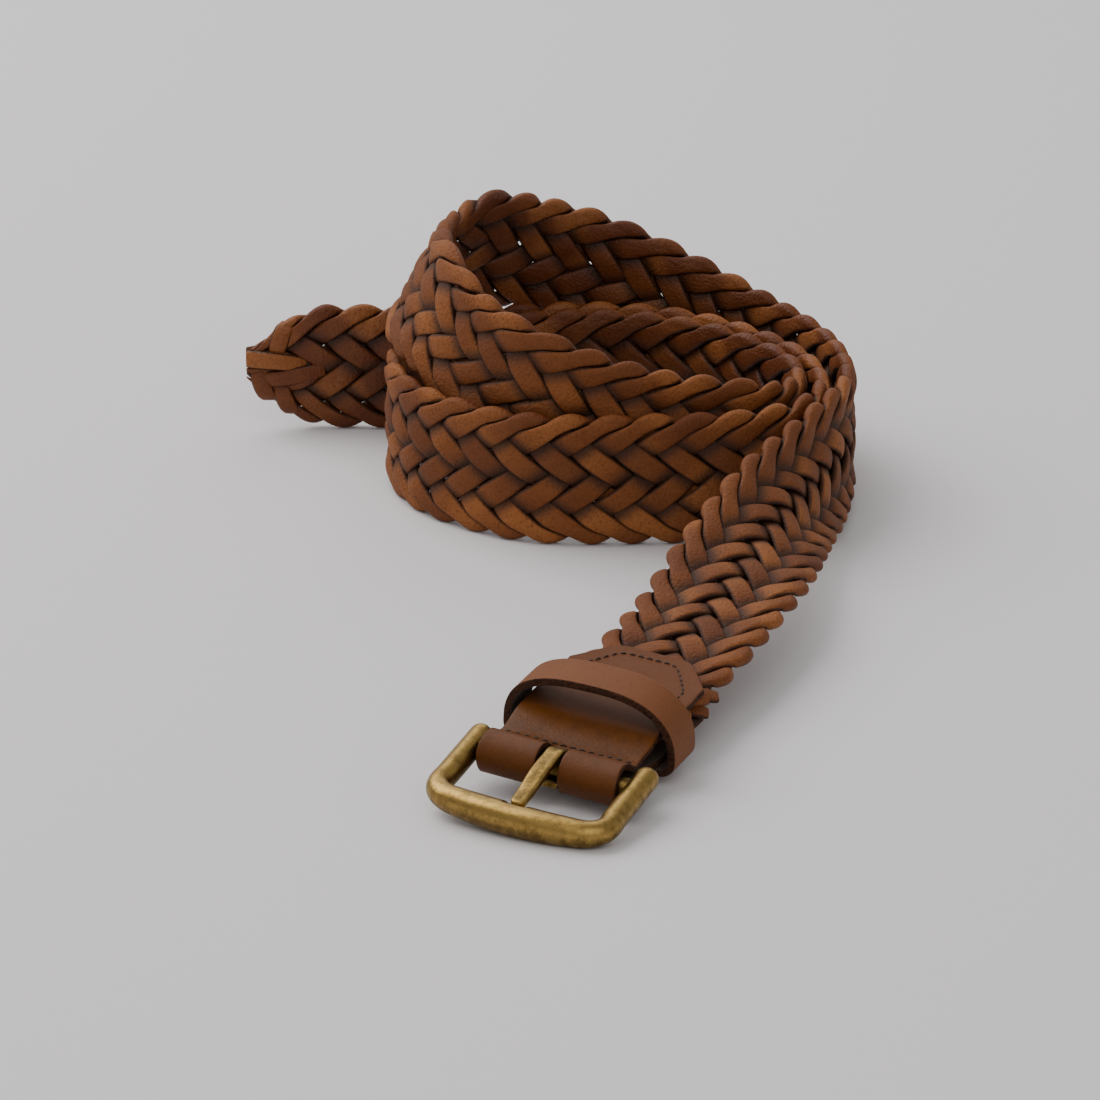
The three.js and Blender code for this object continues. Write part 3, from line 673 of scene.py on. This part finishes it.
class Braid:
    """The strands' middle surfaces, in the band's own coordinates: along, across, outward."""

    def __init__(self, sizes):
        self.end = route.length - BRAID_START
        self.pitches = round(self.end / STRAND_PITCH)
        self.pitch = self.end / self.pitches
        self.thickness = sizes.strand_thickness / MM
        self.half_width = sizes.strand_width / MM / 2
        self.scallop = sizes.scallop / MM
        self.tilt = sizes.tilt / MM
        self.layer = self.thickness / 2
        self.reach = (BELT_WIDTH - self.thickness) / 2
        self.pass_length = 2 * math.sqrt((self.reach + EDGE_SOFTNESS) ** 2 - EDGE_SOFTNESS**2)
        rise = self.pass_length / CROSSINGS
        run = self.pitch / 2
        self.sin, self.cos = rise / math.hypot(rise, run), run / math.hypot(rise, run)
        self.skew = (self.cos**2 - self.sin**2) / (2 * self.sin * run)

    def width_share(self, along):
        """The band's width as a share: the route's width, times the tail's quarter sine taper,
        times the narrowing towards the end leather."""
        taper = np.sin(np.pi / 2 * np.clip(along / TAIL_TAPER, 0, 1))
        taper = TAIL_TIP_SHARE + (1 - TAIL_TIP_SHARE) * taper
        narrow = END_NARROWING + (1 - END_NARROWING) * smooth((self.end - along) / END_NARROWING_RUN)
        return np.interp(along, route.distance, route.width) * taper * narrow

    def middle(self, crossing, side, strand):
        """A strand is a straight strip on the band's unrolled faces, wound round its two edges:
        crossing counts crossings along it and side runs from -1 to 1 across it. With v the
        distance from the nearer edge on the unrolled faces and e EDGE_SOFTNESS, the strip lies
        hypot(v, e) - e inside the edge; it turns there from one layer to the other by
        v / hypot(v, EDGE_TURN), and from EDGE_ZONE crossings off the edge, over EDGE_BLEND more,
        that gives way to its level between the layers."""
        wobble = WOBBLE * wander(crossing, strand * 7 + 1, 11)
        width = self.half_width * (1 + WIDTH_VARIATION * wander(crossing, strand * 7 + 2, 5))
        off = side * width + wobble
        along = crossing * self.pitch / 2 - off * self.sin
        unrolled = (crossing + 2 * strand) * self.pass_length / CROSSINGS + off * self.cos
        from_upper = (unrolled + self.pass_length) % (2 * self.pass_length) - self.pass_length
        upper = np.abs(from_upper) < self.pass_length / 2
        from_edge = np.where(upper, from_upper, from_upper - np.sign(from_upper) * self.pass_length)
        across = self.reach + EDGE_SOFTNESS - np.hypot(from_edge, EDGE_SOFTNESS)
        across = across * np.where(upper, 1, -1)
        inside = smooth((np.abs(from_edge) * CROSSINGS / self.pass_length - EDGE_ZONE) / EDGE_BLEND)
        turned = self.layer * from_edge / np.hypot(from_edge, EDGE_TURN)
        level = strand_level(crossing + 2 * strand + off * self.skew)
        raised = self.layer - self.tilt * side
        outward = turned * (1 - inside) + level * raised * inside
        outward = outward + LEVEL_VARIATION * wander(crossing, strand * 7 + 3, 4) * inside
        return points_of(along, across, outward)

    def strand(self, strand, step):
        """A strand's rings, crowded near the edges: each is the strand's section about its middle
        surface, thinner towards its sides, sunk at the band's edges by the scallop. Gives the
        points and each point's attributes."""
        fine = np.linspace(0.15, 2 * self.pitches - 0.05, 40 * self.pitches)
        to_edge = np.abs((fine + 2 * strand + CROSSINGS / 2) % CROSSINGS - CROSSINGS / 2)
        weight = np.cumsum(1 + ROW_CROWDING * np.exp(-((to_edge / CROWDED_CROSSINGS) ** 2)))
        rows = int(weight[-1] * (fine[1] - fine[0]) * self.pitch / 2 / self.cos / step)
        crossing = np.interp(np.linspace(weight[0], weight[-1], rows), weight, fine)[:, None]
        crossing, side, rise = np.broadcast_arrays(crossing, *strand_section())
        here = self.middle(crossing, side, strand)
        ahead = self.middle(crossing + SMALL_STEP, side, strand) - here
        aside = self.middle(crossing, side + SMALL_STEP, strand) - here
        normal = unit(np.cross(ahead, aside))
        points = here + normal * (rise * (1 - CAMBER * side**2))[..., None] * self.thickness / 2
        from_middle = np.abs(points[..., 1]) / self.reach
        near_edge = smooth((from_middle - SCALLOP_START) / (1 - SCALLOP_START))
        sunk = 1 - self.scallop / self.reach * near_edge * side**2
        points[..., 1] *= sunk * self.width_share(points[..., 0])
        from_tail = smooth(points[..., 0] / TAIL_THIN_RUN)
        points[..., 2] *= TAIL_THINNING + (1 - TAIL_THINNING) * from_tail
        level = strand_level(crossing + 2 * strand + side * self.half_width * self.skew)
        values = {"side": normal[..., 2] * rise, "edge": np.abs(side)}
        # Painted shade amount: 1 where the strand passes between the layers, 0 where it lies fully
        # over or under.
        values["dive"] = 1 - np.abs(level) / ARCH
        values["tone"] = 0.5 + 0.5 * wander(crossing, strand * 7 + 4, 6)
        return route.place(points), values


def short_strip(hint, tone, width, middle, thickness):
    """A short strand along the smooth curve through the middle line's points, its width towards
    the hint, its section the strand's, narrowing at both ends, in the band's coordinates. Gives
    the points and each point's attributes."""
    hint, middle = np.array(hint), np.array(middle, float)
    middle[:, 0] += np.where(middle[:, 0] < STRIP_FROM_BAR, route.length, 0)
    knots = distances(middle)
    line = natural_spline(knots, middle, np.linspace(0, knots[-1], STRIP_ROWS))
    ahead = directions(line)
    aside = unit(hint - ahead * (ahead @ hint)[:, None])
    normal = np.cross(ahead, aside)[:, None]
    side, rise = strand_section()
    size = np.sin(np.pi * np.linspace(0.03, 0.97, STRIP_ROWS)[:, None]) ** 0.12
    points = line[:, None] + aside[:, None] * (side * size)[..., None] * width / 2
    points = points + normal * (rise * (1 - CAMBER * side**2) * size)[..., None] * thickness / 2
    # The short strips get no painted dive shade.
    values = {"side": normal[..., 2] * rise, "edge": np.abs(side), "tone": tone, "dive": 0}
    shape = points.shape[:2]
    return points, {key: np.broadcast_to(value, shape).ravel() for key, value in values.items()}


class BELT_OT_braid(bpy.types.Operator):
    """Nine leather strands plaited over two and under two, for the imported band"""

    bl_idname = "belt.braid"
    bl_label = "Braid"

    def execute(self, context):
        sizes = context.scene.belt_sizes
        braid = Braid(sizes)
        material = braid_finish(context.scene.belt_colours)
        for strand in range(STRANDS):
            places, values = braid.strand(strand, sizes.strand_step / MM)
            name = f"strand_{strand + 1}"
            piece = make_rod(name, places, material, "leather", "braid_leather", values)
            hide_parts("braid")
        self.short_strips(material, sizes.strand_thickness / MM * STRIP_THICKNESS_SHARE)
        return {"FINISHED"}

    def short_strips(self, material, thickness):
        """All the short strips as one piece."""
        made = [short_strip(*strip, thickness) for strip in SHORT_STRIPS]
        parts = [(route.place(points).reshape(-1, 3), tube(points)) for points, values in made]
        values = {key: np.concatenate([values[key] for points, values in made]) for key in made[0][1]}
        make_piece("short_strips", *joined(parts), [material], "leather", "braid_leather", values)


# End leather and keeper

FOLD_INNER = BAR_RADIUS + CURL_ROOM + TONGUE_THICKNESS + FOLD_STAND - LEATHER
HOLD_INNER = BAND_THICKNESS / 2 + CLEARANCE
# Reach of the front colour, which is partly painted shade from the keeper, and how much less of it the
# fold's nose takes.
FRONT_COLOUR_REACH = 2
FRONT_COLOUR_BLEND = 3
FOLD_FADE = 0.4
FOLD_FADE_RUN = 1.5
SMOOTH_GLOSS = 0.42
FLESH_GLOSS = 0.1
TAB_BEVEL = 0.3
KEEPER_BEVEL = 0.35
KEEPER_WEAR = 0.15
KEEPER_ROWS = 15
KEEPER_POINTS = 150


def resample(line, places):
    """A line's points at the given shares of its length."""
    distance = distances(line)
    return read(places, distance / distance[-1], line)


def evenly(line, step):
    """A line's points again, evenly spread and about the step apart."""
    return resample(line, np.linspace(0, 1, int(distances(line)[-1] / step)))


def rounded(line, reach):
    """A line of evenly spaced points, each replaced twice by the mean of its neighbours up to
    reach away on either side. Beyond its ends the line goes on mirrored, so they stay."""
    for _ in range(2):
        kernel = np.ones(2 * reach + 1) / (2 * reach + 1)
        before = 2 * line[:1] - line[reach:0:-1]
        after = 2 * line[-1:] - line[-2:-reach - 2:-1]
        padded = np.vstack([before, line, after])
        line = np.stack([np.convolve(column, kernel, mode="valid") for column in padded.T], axis=-1)
    return line


def fold_line():
    """The side view of the strip's middle: from the upper layer's end forwards, pinched at the
    stitches, round the bar and back along the lower layer, FOLD_LINE_STEP apart."""
    middle = LEATHER / 2
    start = math.radians(FOLD_OPENING)
    angle = np.linspace(start, np.pi, 24)
    radius = FOLD_INNER + middle
    straight = np.array([
        (TAB_LENGTH, HOLD_INNER + middle),
        (BRAID_START - 2 * CLEARANCE, HOLD_INNER + middle),
        (STITCH_FROM_BAR + PINCH_RUN, PINCH_GAP / 2 + middle),
        (STITCH_FROM_BAR - PINCH_RUN, PINCH_GAP / 2 + middle),
    ])
    upper = np.vstack([straight, np.stack([np.cos(angle), np.sin(angle)], axis=-1) * radius])
    line = np.vstack([upper, upper[-2::-1] * [1, -1]])
    return rounded(evenly(line, FOLD_LINE_STEP), 4)


def tab_end(across):
    """How far back the tab reaches at a place across it: TAB_LENGTH in the middle, and from half
    TAB_END_WIDTH on a straight slant, the corner between the two rounded by a soft minimum."""
    flat = TAB_END_WIDTH / 2
    steepness = TAB_END_RUN / (LEATHER_WIDTH / 2 + TAB_OVERHANG - flat)
    slant = TAB_LENGTH - (np.abs(across) - flat) * steepness
    return -TAB_CORNER * np.logaddexp(-slant / TAB_CORNER, -TAB_LENGTH / TAB_CORNER)


class EndLeather:
    """The folded strip as a surface of a distance from the fold's nose and a place across."""

    def __init__(self):
        self.line = fold_line()
        self.distance = distances(self.line)
        self.half = self.distance[-1] / 2
        self.normals = directions(self.line) @ np.array([[0, -1], [1, 0]])

    def side(self, from_nose, lift):
        """The side view's point at a distance from the nose, positive on the upper layer, lifted
        off the middle by lift on the outer side."""
        at = self.half - from_nose
        columns = [*self.line.T, *self.normals.T]
        x, z, normal_x, normal_z = (np.interp(at, self.distance, column) for column in columns)
        return x + normal_x * lift, z + normal_z * lift

    def surface(self, share, across):
        """share runs from 1 at the upper layer's end to -1 at the lower layer's end. The upper
        layer is a little wavy, and the sides a little worn."""
        reach = self.half - (TAB_LENGTH - tab_end(across))
        from_nose = share * reach
        upper = smooth(share * 4)
        wave = WAVE_HEIGHT * wander(from_nose, 11, 19) * wander(across, 12, 26)
        x, z = self.side(from_nose, wave * upper)
        edge = np.clip((np.abs(across) - LEATHER_WIDTH / 2) / WORN_EDGE_WIDTH + 1, 0, 1)
        worn = WORN_EDGE * wander(from_nose, 13, 7) * edge
        return points_of(x, across + np.sign(across) * worn, z)


class BELT_OT_end_leather(bpy.types.Operator):
    """Leather strip folded round the buckle's bar and over the braid's end, with a slot"""

    bl_idname = "belt.end_leather"
    bl_label = "End leather"

    def execute(self, context):
        colours = context.scene.belt_colours
        strip = EndLeather()
        edge = LEATHER_WIDTH / 2
        slot = SLOT_WIDTH / 2
        side = np.linspace(slot, edge, 19)
        across = np.concatenate([-side[::-1], np.linspace(-slot, slot, 9)[1:-1], side])
        rows = 2 * int(strip.half / ROW_STEP)
        share, across = np.meshgrid(np.linspace(1, -1, rows), across, indexing="ij")
        points = strip.surface(share, across)
        quads = grid_quads(*share.shape, False)
        centre = points.reshape(-1, 3)[quads].mean(axis=1)
        in_slot = (np.abs(centre[:, 1]) < slot) & (centre[:, 0] < SLOT_REACH + ROW_STEP / 2)
        x = points[..., 0]
        # front is 1 from the keeper to the stitches and 0.6 on the nose: the fold colour there is
        # partly painted shade from the keeper.
        front = smooth((KEEPER_FROM_BAR + FRONT_COLOUR_REACH - x) / FRONT_COLOUR_BLEND)
        front = front * (1 - FOLD_FADE * smooth((STITCH_FROM_BAR - x) / FOLD_FADE_RUN))
        materials = wall_finishes(colours, "end_leather", "flesh_side", colours.tab, colours.fold)
        places, faces = strap_end(points.reshape(-1, 3)), [quads[~in_slot]]
        name, values = "folded_end_leather", {"front": front}
        piece = make_piece(name, places, faces, materials, "leather", "tab_leather", values)
        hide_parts("end_leather")
        leather_wall(piece, LEATHER, TAB_BEVEL)
        return {"FINISHED"}


def keeper_loop(count):
    """The keeper's middle line seen along the strap: a superellipse arch standing on a flat foot
    with rounded corners, as count evenly spaced points."""
    half = LEATHER_WIDTH / 2 + KEEPER_SIDE_ROOM + KEEPER_LEATHER / 2
    bottom = -(HOLD_INNER + LEATHER + CLEARANCE + KEEPER_LEATHER / 2)
    top = HOLD_INNER + LEATHER + KEEPER_RISE + KEEPER_LEATHER / 2
    corner = KEEPER_CORNER + KEEPER_LEATHER / 2
    shoulder = bottom + corner
    angle = np.linspace(0, np.pi, 121)
    flat = 2 / KEEPER_SQUARENESS
    arch_y = half * signed_power(np.cos(angle), flat)
    arch_z = shoulder + (top - shoulder) * np.abs(np.sin(angle)) ** flat
    turn = np.linspace(0, np.pi / 2, 13)[1:]
    left_y = -(half - corner + corner * np.cos(turn))
    foot_z = shoulder - corner * np.sin(turn)
    y = np.concatenate([arch_y, left_y, -left_y[::-1], arch_y[:1]])
    z = np.concatenate([arch_z, foot_z, foot_z[::-1], arch_z[:1]])
    return resample(np.stack([y, z], axis=-1), np.linspace(0, 1, count, endpoint=False))


class BELT_OT_keeper(bpy.types.Operator):
    """Leather loop standing open round the end leather, for the strap's tail"""

    bl_idname = "belt.keeper"
    bl_label = "Keeper"

    def execute(self, context):
        colours = context.scene.belt_colours
        loop = keeper_loop(KEEPER_POINTS)
        x = np.linspace(KEEPER_FROM_BAR, KEEPER_FROM_BAR + KEEPER_WIDTH, KEEPER_ROWS)[:, None]
        worn = KEEPER_WEAR * wander(np.arange(len(loop)), 21, 30)
        rim = np.abs(x - x.mean()) / (KEEPER_WIDTH / 2)
        points = points_of(x + worn * rim**2, *loop.T)
        # The keeper's colour holds painted light, lighter than the end leather to offset the shade on
        # its face.
        materials = wall_finishes(colours, "keeper_leather", "keeper_inside", colours.keeper)
        faces = [grid_quads(len(x), len(loop), True)]
        places = strap_end(points.reshape(-1, 3))
        piece = make_piece("keeper_loop", places, faces, materials, "leather", "tab_leather")
        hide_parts("keeper")
        leather_wall(piece, KEEPER_LEATHER, KEEPER_BEVEL)
        return {"FINISHED"}


# Stitches

THREAD_LIFT = 0.05
THREAD_RISE = 0.75
THREAD_SINK = 0.35
FOLD_ROW_INSET = 1.3
TAB_ROW_START = 2


def fold_row():
    """The path of the row across the strip behind the fold, on its upper face."""
    strip = EndLeather()
    z = strip.side(strip.half - TAB_LENGTH + STITCH_FROM_BAR, LEATHER / 2 + THREAD_LIFT)[1]
    return points_of(STITCH_FROM_BAR, np.linspace(-1, 1, 60) * (LEATHER_WIDTH / 2 - FOLD_ROW_INSET), z)


def tab_row(inset):
    """The path of the row round the tab on its upper face, the inset inside its edge: from the
    keeper along one side, round the end and back along the other side."""
    edge = LEATHER_WIDTH / 2 - inset
    round_y = np.linspace(-1, 1, 60) * edge
    round_x = tab_end(round_y * (LEATHER_WIDTH / 2) / edge) - inset
    side_x = np.linspace(KEEPER_FROM_BAR + KEEPER_WIDTH + TAB_ROW_START, TAB_LENGTH, 80)
    side_x = side_x[side_x < round_x[0]]
    side_y = np.full(len(side_x), edge)
    x = np.concatenate([side_x, round_x, side_x[::-1]])
    y = np.concatenate([-side_y, round_y, side_y])
    return points_of(x, y, HOLD_INNER + LEATHER + THREAD_LIFT)


def stitch_tubes(starts, ends, side, thread):
    """A row of stitches, turned to the lower face where side is -1: each runs straight from its
    start to its end, rising off the leather by half a sine wave and sinking into it at both ends,
    its section a circle that narrows there."""
    share = np.linspace(0, 1, 9)[:, None, None]
    angle = circle(8)[:, None]
    starts, ends = (places[:, None, None] * [1, side, side] for places in (starts, ends))
    outward = np.array([0, 0, side])
    aside = np.cross(outward, unit(ends - starts))
    swell = np.sin(np.pi * (0.08 + 0.84 * share)) ** 0.5
    rise = thread * (THREAD_RISE * np.sin(np.pi * share) - THREAD_SINK)
    ring = np.cos(angle) * aside + np.sin(angle) * outward
    tubes = starts + (ends - starts) * share + outward * rise + ring * swell * thread / 2
    faces = tube(tubes[0])
    step = tubes.shape[1] * tubes.shape[2]
    shifts = (np.arange(len(tubes)) * step)[:, None, None]
    return tubes.reshape(-1, 3), [(part[None] + shifts).reshape(-1, part.shape[1]) for part in faces]


def stitch_places(path, stitch, gap):
    """Starts and ends of the stitches that fit along a path, evenly spread."""
    length = distances(path)[-1]
    count = int((length + gap) / (stitch + gap))
    first = (np.arange(count) * (length + gap) / count) / length
    last = first + ((length + gap) / count - gap) / length
    return resample(path, first), resample(path, np.minimum(last, 1))


class BELT_OT_stitches(bpy.types.Operator):
    """Rows of thread behind the fold and round the tab, on both faces"""

    bl_idname = "belt.stitches"
    bl_label = "Stitches"

    def execute(self, context):
        sizes = context.scene.belt_sizes
        finish = thread_finish(context.scene.belt_colours)
        thread, inset = sizes.thread_thickness / MM, sizes.stitch_inset / MM
        stitch, gap = sizes.stitch_length / MM, sizes.stitch_gap / MM
        for name, path in (("fold_stitches", fold_row()), ("tab_stitches", tab_row(inset))):
            starts, ends = stitch_places(path, stitch, gap)
            points, faces = joined([stitch_tubes(starts, ends, side, thread) for side in (1, -1)])
            make_piece(name, strap_end(points), faces, [finish], "leather", "tab_leather")
        return {"FINISHED"}


# Buckle

TIP_FROM_BAR = TIP_SHORT - FRAME_REACH - FRONT_BOW
TIP_ROUNDING = 1.9
TIP_THINNING = 0.8
ROOT_THINNING = 0.5
SIDE_POWER = 0.42
FACE_POWER = 0.6
TONGUE_RUB = 0.8


def frame_line():
    """The frame's centre line in plan, FRAME_LINE_STEP apart: an arm, a rounded corner, the front,
    and the same mirrored; corners are quadratic curves."""
    half = ARM_SPACING / 2
    bend = FRAME_CORNER - FRAME_REACH
    share = np.linspace(0, 1, 40)[:, None]
    ends = np.array([(bend, half), (-FRAME_REACH, half), (-FRAME_REACH, half - FRAME_CORNER)])
    corner = (1 - share) ** 2 * ends[0] + 2 * share * (1 - share) * ends[1] + share**2 * ends[2]
    side = np.vstack([[(ARM_TAIL, half)], corner])
    line = np.vstack([side, side[::-1] * [1, -1]])
    return evenly(line, FRAME_LINE_STEP)


class BELT_OT_buckle(bpy.types.Operator):
    """Brass frame of rounded rod with a heavier front, and a flat tongue curled round its bar"""

    bl_idname = "belt.buckle"
    bl_label = "Buckle"

    def execute(self, context):
        finish = brass_finish(context.scene.belt_colours)
        self.frame_rod(finish)
        self.bar(finish)
        self.tongue(finish)
        return {"FINISHED"}

    def frame_rod(self, finish):
        """A round section swept along the frame's line, swelling and faintly ridged towards the
        middle of the front, which bows forwards and flares, and cut flat where the tongue's tip
        lies."""
        line = rounded(frame_line(), 6)
        length = FRAME_LINE_STEP * (len(line) - 1)
        ends = ARM_RADIUS * (1 - np.cos(np.linspace(0, np.pi / 2, 12)))
        inner = np.linspace(ARM_RADIUS, length / 2, 150)[1:]
        at = np.concatenate([ends, inner])
        at = np.concatenate([at, length - at[-2::-1]]) / length
        centre = resample(line, at)
        tangent = directions(centre)
        bow = 1 - np.minimum(1, np.abs(centre[:, 1]) / (ARM_SPACING / 2)) ** 2
        start = FRAME_REACH * FRONT_RUN_START
        ahead = smooth((-centre[:, 0] - start) / (FRAME_REACH - start))
        centre[:, 1] *= 1 + FRONT_FLARE * ahead
        front = ahead * bow
        from_end = np.minimum(at, 1 - at) * length
        radius = (ARM_RADIUS + (FRONT_RADIUS - ARM_RADIUS) * front) * round_end(from_end, ARM_RADIUS)
        radius = np.maximum(radius, LEAST_RADIUS)
        angle = circle(40)
        radius = radius[:, None] * (1 + FRONT_RIDGE * front[:, None] * np.cos(3 * (angle - 0.9)))
        out, rise = np.cos(angle) * radius, np.sin(angle) * radius
        x = centre[:, :1] + tangent[:, 1:] * out - (FRONT_BOW * front)[:, None]
        y = centre[:, 1:] - tangent[:, :1] * out
        floor = TIP_HEIGHT - TONGUE_THICKNESS / 2 - CLEARANCE
        beside = smooth((np.abs(y) - TONGUE_WIDTH / 2 - CLEARANCE) / NOTCH_EDGE)
        before = smooth((TIP_FROM_BAR - CLEARANCE - x) / NOTCH_EDGE)
        limit = floor + FRONT_RADIUS * 1.2 * np.maximum(beside, before)
        places = buckle_end(points_of(x, y, np.minimum(rise, limit)))
        # Less patina towards the top of the rod, so the brass is darker towards its underside.
        patina_thinning = {"patina_thinning": smooth((rise / ARM_RADIUS + 0.2) / 0.9)}
        piece = make_rod("brass_frame", places, finish, "frame", "antique_brass", patina_thinning)
        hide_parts("buckle_frame")

    def bar(self, finish):
        """The thin straight rod between the arms, under the fold."""
        y = np.linspace(-ARM_SPACING / 2, ARM_SPACING / 2, 9)[:, None]
        angle = circle(28)
        places = buckle_end(points_of(np.sin(angle) * BAR_RADIUS, y, np.cos(angle) * BAR_RADIUS))
        make_rod("brass_bar", places, finish, "frame", "antique_brass")

    def tongue(self, finish):
        """A flat strip with worn edges along the prong's line: an arc round the bar, then a
        smooth curve down to the tip, which is rounded in plan."""
        middle = BAR_RADIUS + CURL_ROOM + TONGUE_THICKNESS / 2
        turn = np.radians(np.linspace(CURL_START, CURL_END, 60))
        curl = np.stack([np.cos(turn), np.sin(turn)], axis=-1) * middle
        prong = PRONG * [TIP_FROM_BAR, middle]
        prong = np.vstack([curl[-4::3], prong, (TIP_FROM_BAR, TIP_HEIGHT)])
        knots = distances(prong)
        fine = natural_spline(knots, prong, np.linspace(knots[1], knots[-1], 80))
        line = rounded(resample(np.vstack([curl[:-1], fine]), np.linspace(0, 1, 180)), 3)
        ahead = directions(line)
        from_tip = np.linspace(distances(line)[-1], 0, len(line))
        from_root = from_tip[0] - from_tip
        taper = TIP_WIDTH_SHARE + (1 - TIP_WIDTH_SHARE) * smooth(from_tip / TIP_TAPER)
        narrow = np.maximum(round_end(from_tip, TIP_ROUNDING) * taper, 0.04)
        thin = np.maximum(round_end(from_tip, TIP_THINNING), 0.1)
        thin = thin * np.maximum(round_end(from_root, ROOT_THINNING), 0.2)
        side = signed_power(np.cos(circle(28)), SIDE_POWER)
        rise = signed_power(np.sin(circle(28)), FACE_POWER)
        lift = rise * thin[:, None] * TONGUE_THICKNESS / 2
        x, z = line[:, :1] + ahead[:, 1:] * lift, line[:, 1:] - ahead[:, :1] * lift
        places = buckle_end(points_of(x, side * narrow[:, None] * TONGUE_WIDTH / 2, z))
        patina_thinning = {"patina_thinning": np.broadcast_to(np.abs(side) * TONGUE_RUB, places.shape[:2])}
        piece = make_rod("brass_tongue", places, finish, "tongue", "antique_brass", patina_thinning)
        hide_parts("buckle_tongue")


# Stage

FLOOR_REACH = 6
WORLD_COLOUR = (0.95, 0.935, 0.945, 1)
WORLD_STRENGTH = 0.48

# Name, place and size in metres, power in watts, colour. FLOOR_REACH is in metres too.
LIGHTS = (
    ("key_light", (-0.9, 0.5, 1.25), 1.5, 26, (1, 0.985, 0.97)),
    ("fill_light", (0.2, -1.3, 1.1), 1.5, 8, (1, 0.985, 0.97)),
    ("back_light", (0.1, 1.3, 1.1), 1.2, 5, (1, 1, 1)),
)


class BELT_OT_stage(bpy.types.Operator):
    """Pale floor, soft studio light and the camera"""

    bl_idname = "belt.stage"
    bl_label = "Stage"

    def execute(self, context):
        scene = context.scene
        finish = Finish("studio_floor")
        faint = finish.noise(30, 2)
        floor_colour = scene.belt_colours.floor
        colour = finish.mix(faint * 0.3, floor_colour[:], shade(floor_colour, 0.985))
        material = finish.done(colour, 0.9, {"Specular IOR Level": 0.1})
        mesh = bpy.data.meshes.new("studio_floor")
        corners = np.array([(-1, -1, 0), (1, -1, 0), (1, 1, 0), (-1, 1, 0)]) * FLOOR_REACH
        mesh.from_pydata(corners.tolist(), [], [(0, 1, 2, 3)])
        mesh.materials.append(material)
        floor = bpy.data.objects.new("studio_floor", mesh)
        scene.collection.objects.link(floor)
        for lamp in LIGHTS:
            self.light(scene, *lamp)
        world = bpy.data.worlds.new("studio")
        world.use_nodes = True
        background = world.node_tree.nodes["Background"].inputs
        background["Color"].default_value = WORLD_COLOUR
        background["Strength"].default_value = WORLD_STRENGTH
        scene.world = world
        self.camera(scene)
        return {"FINISHED"}

    def light(self, scene, name, place, size, power, colour):
        """A square softbox at a place, turned towards the belt."""
        data = bpy.data.lights.new(name, "AREA")
        data.shape = "SQUARE"
        data.size = size
        data.energy = power
        data.color = colour
        lamp = bpy.data.objects.new(name, data)
        lamp.location = place
        lamp.rotation_euler = (-lamp.location).to_track_quat("-Z", "Y").to_euler()
        scene.collection.objects.link(lamp)

    def camera(self, scene):
        """Looks at the route's origin from the front at the camera's elevation."""
        tilt = math.radians(CAMERA_ELEVATION)
        back = np.array([0, -math.cos(tilt), math.sin(tilt)]) * CAMERA_DISTANCE
        data = bpy.data.cameras.new("camera")
        data.lens = CAMERA_LENS
        camera = bpy.data.objects.new("camera", data)
        camera.location = (SHIFT + back) * MM
        camera.rotation_euler = (math.pi / 2 - tilt, 0, 0)
        scene.collection.objects.link(camera)
        scene.camera = camera


class BELT_PT_panel(bpy.types.Panel):
    """Sizes, colours and a button for each piece"""

    bl_idname = "BELT_PT_panel"
    bl_label = "Braided belt"
    bl_space_type = "VIEW_3D"
    bl_region_type = "UI"
    bl_category = "Belt"

    def draw(self, context):
        for group in (context.scene.belt_sizes, context.scene.belt_colours):
            box = self.layout.box()
            for key in group.__annotations__:
                box.prop(group, key)
        for operator in OPERATORS:
            self.layout.operator(operator.bl_idname)


OPERATORS = (
    BELT_OT_braid,
    BELT_OT_end_leather,
    BELT_OT_keeper,
    BELT_OT_stitches,
    BELT_OT_buckle,
    BELT_OT_stage,
)
CLASSES = (BeltSizes, BeltColours, *OPERATORS, BELT_PT_panel)


def register():
    for item in CLASSES:
        bpy.utils.register_class(item)
    bpy.types.Scene.belt_sizes = PointerProperty(type=BeltSizes)
    bpy.types.Scene.belt_colours = PointerProperty(type=BeltColours)


def unregister():
    del bpy.types.Scene.belt_colours
    del bpy.types.Scene.belt_sizes
    for item in reversed(CLASSES):
        bpy.utils.unregister_class(item)


def main():
    """Builds the whole belt and its stage."""
    register()
    bpy.ops.belt.braid()
    bpy.ops.belt.end_leather()
    bpy.ops.belt.keeper()
    bpy.ops.belt.stitches()
    bpy.ops.belt.buckle()
    bpy.ops.belt.stage()
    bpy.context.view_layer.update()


if __name__ == "__main__":
    main()
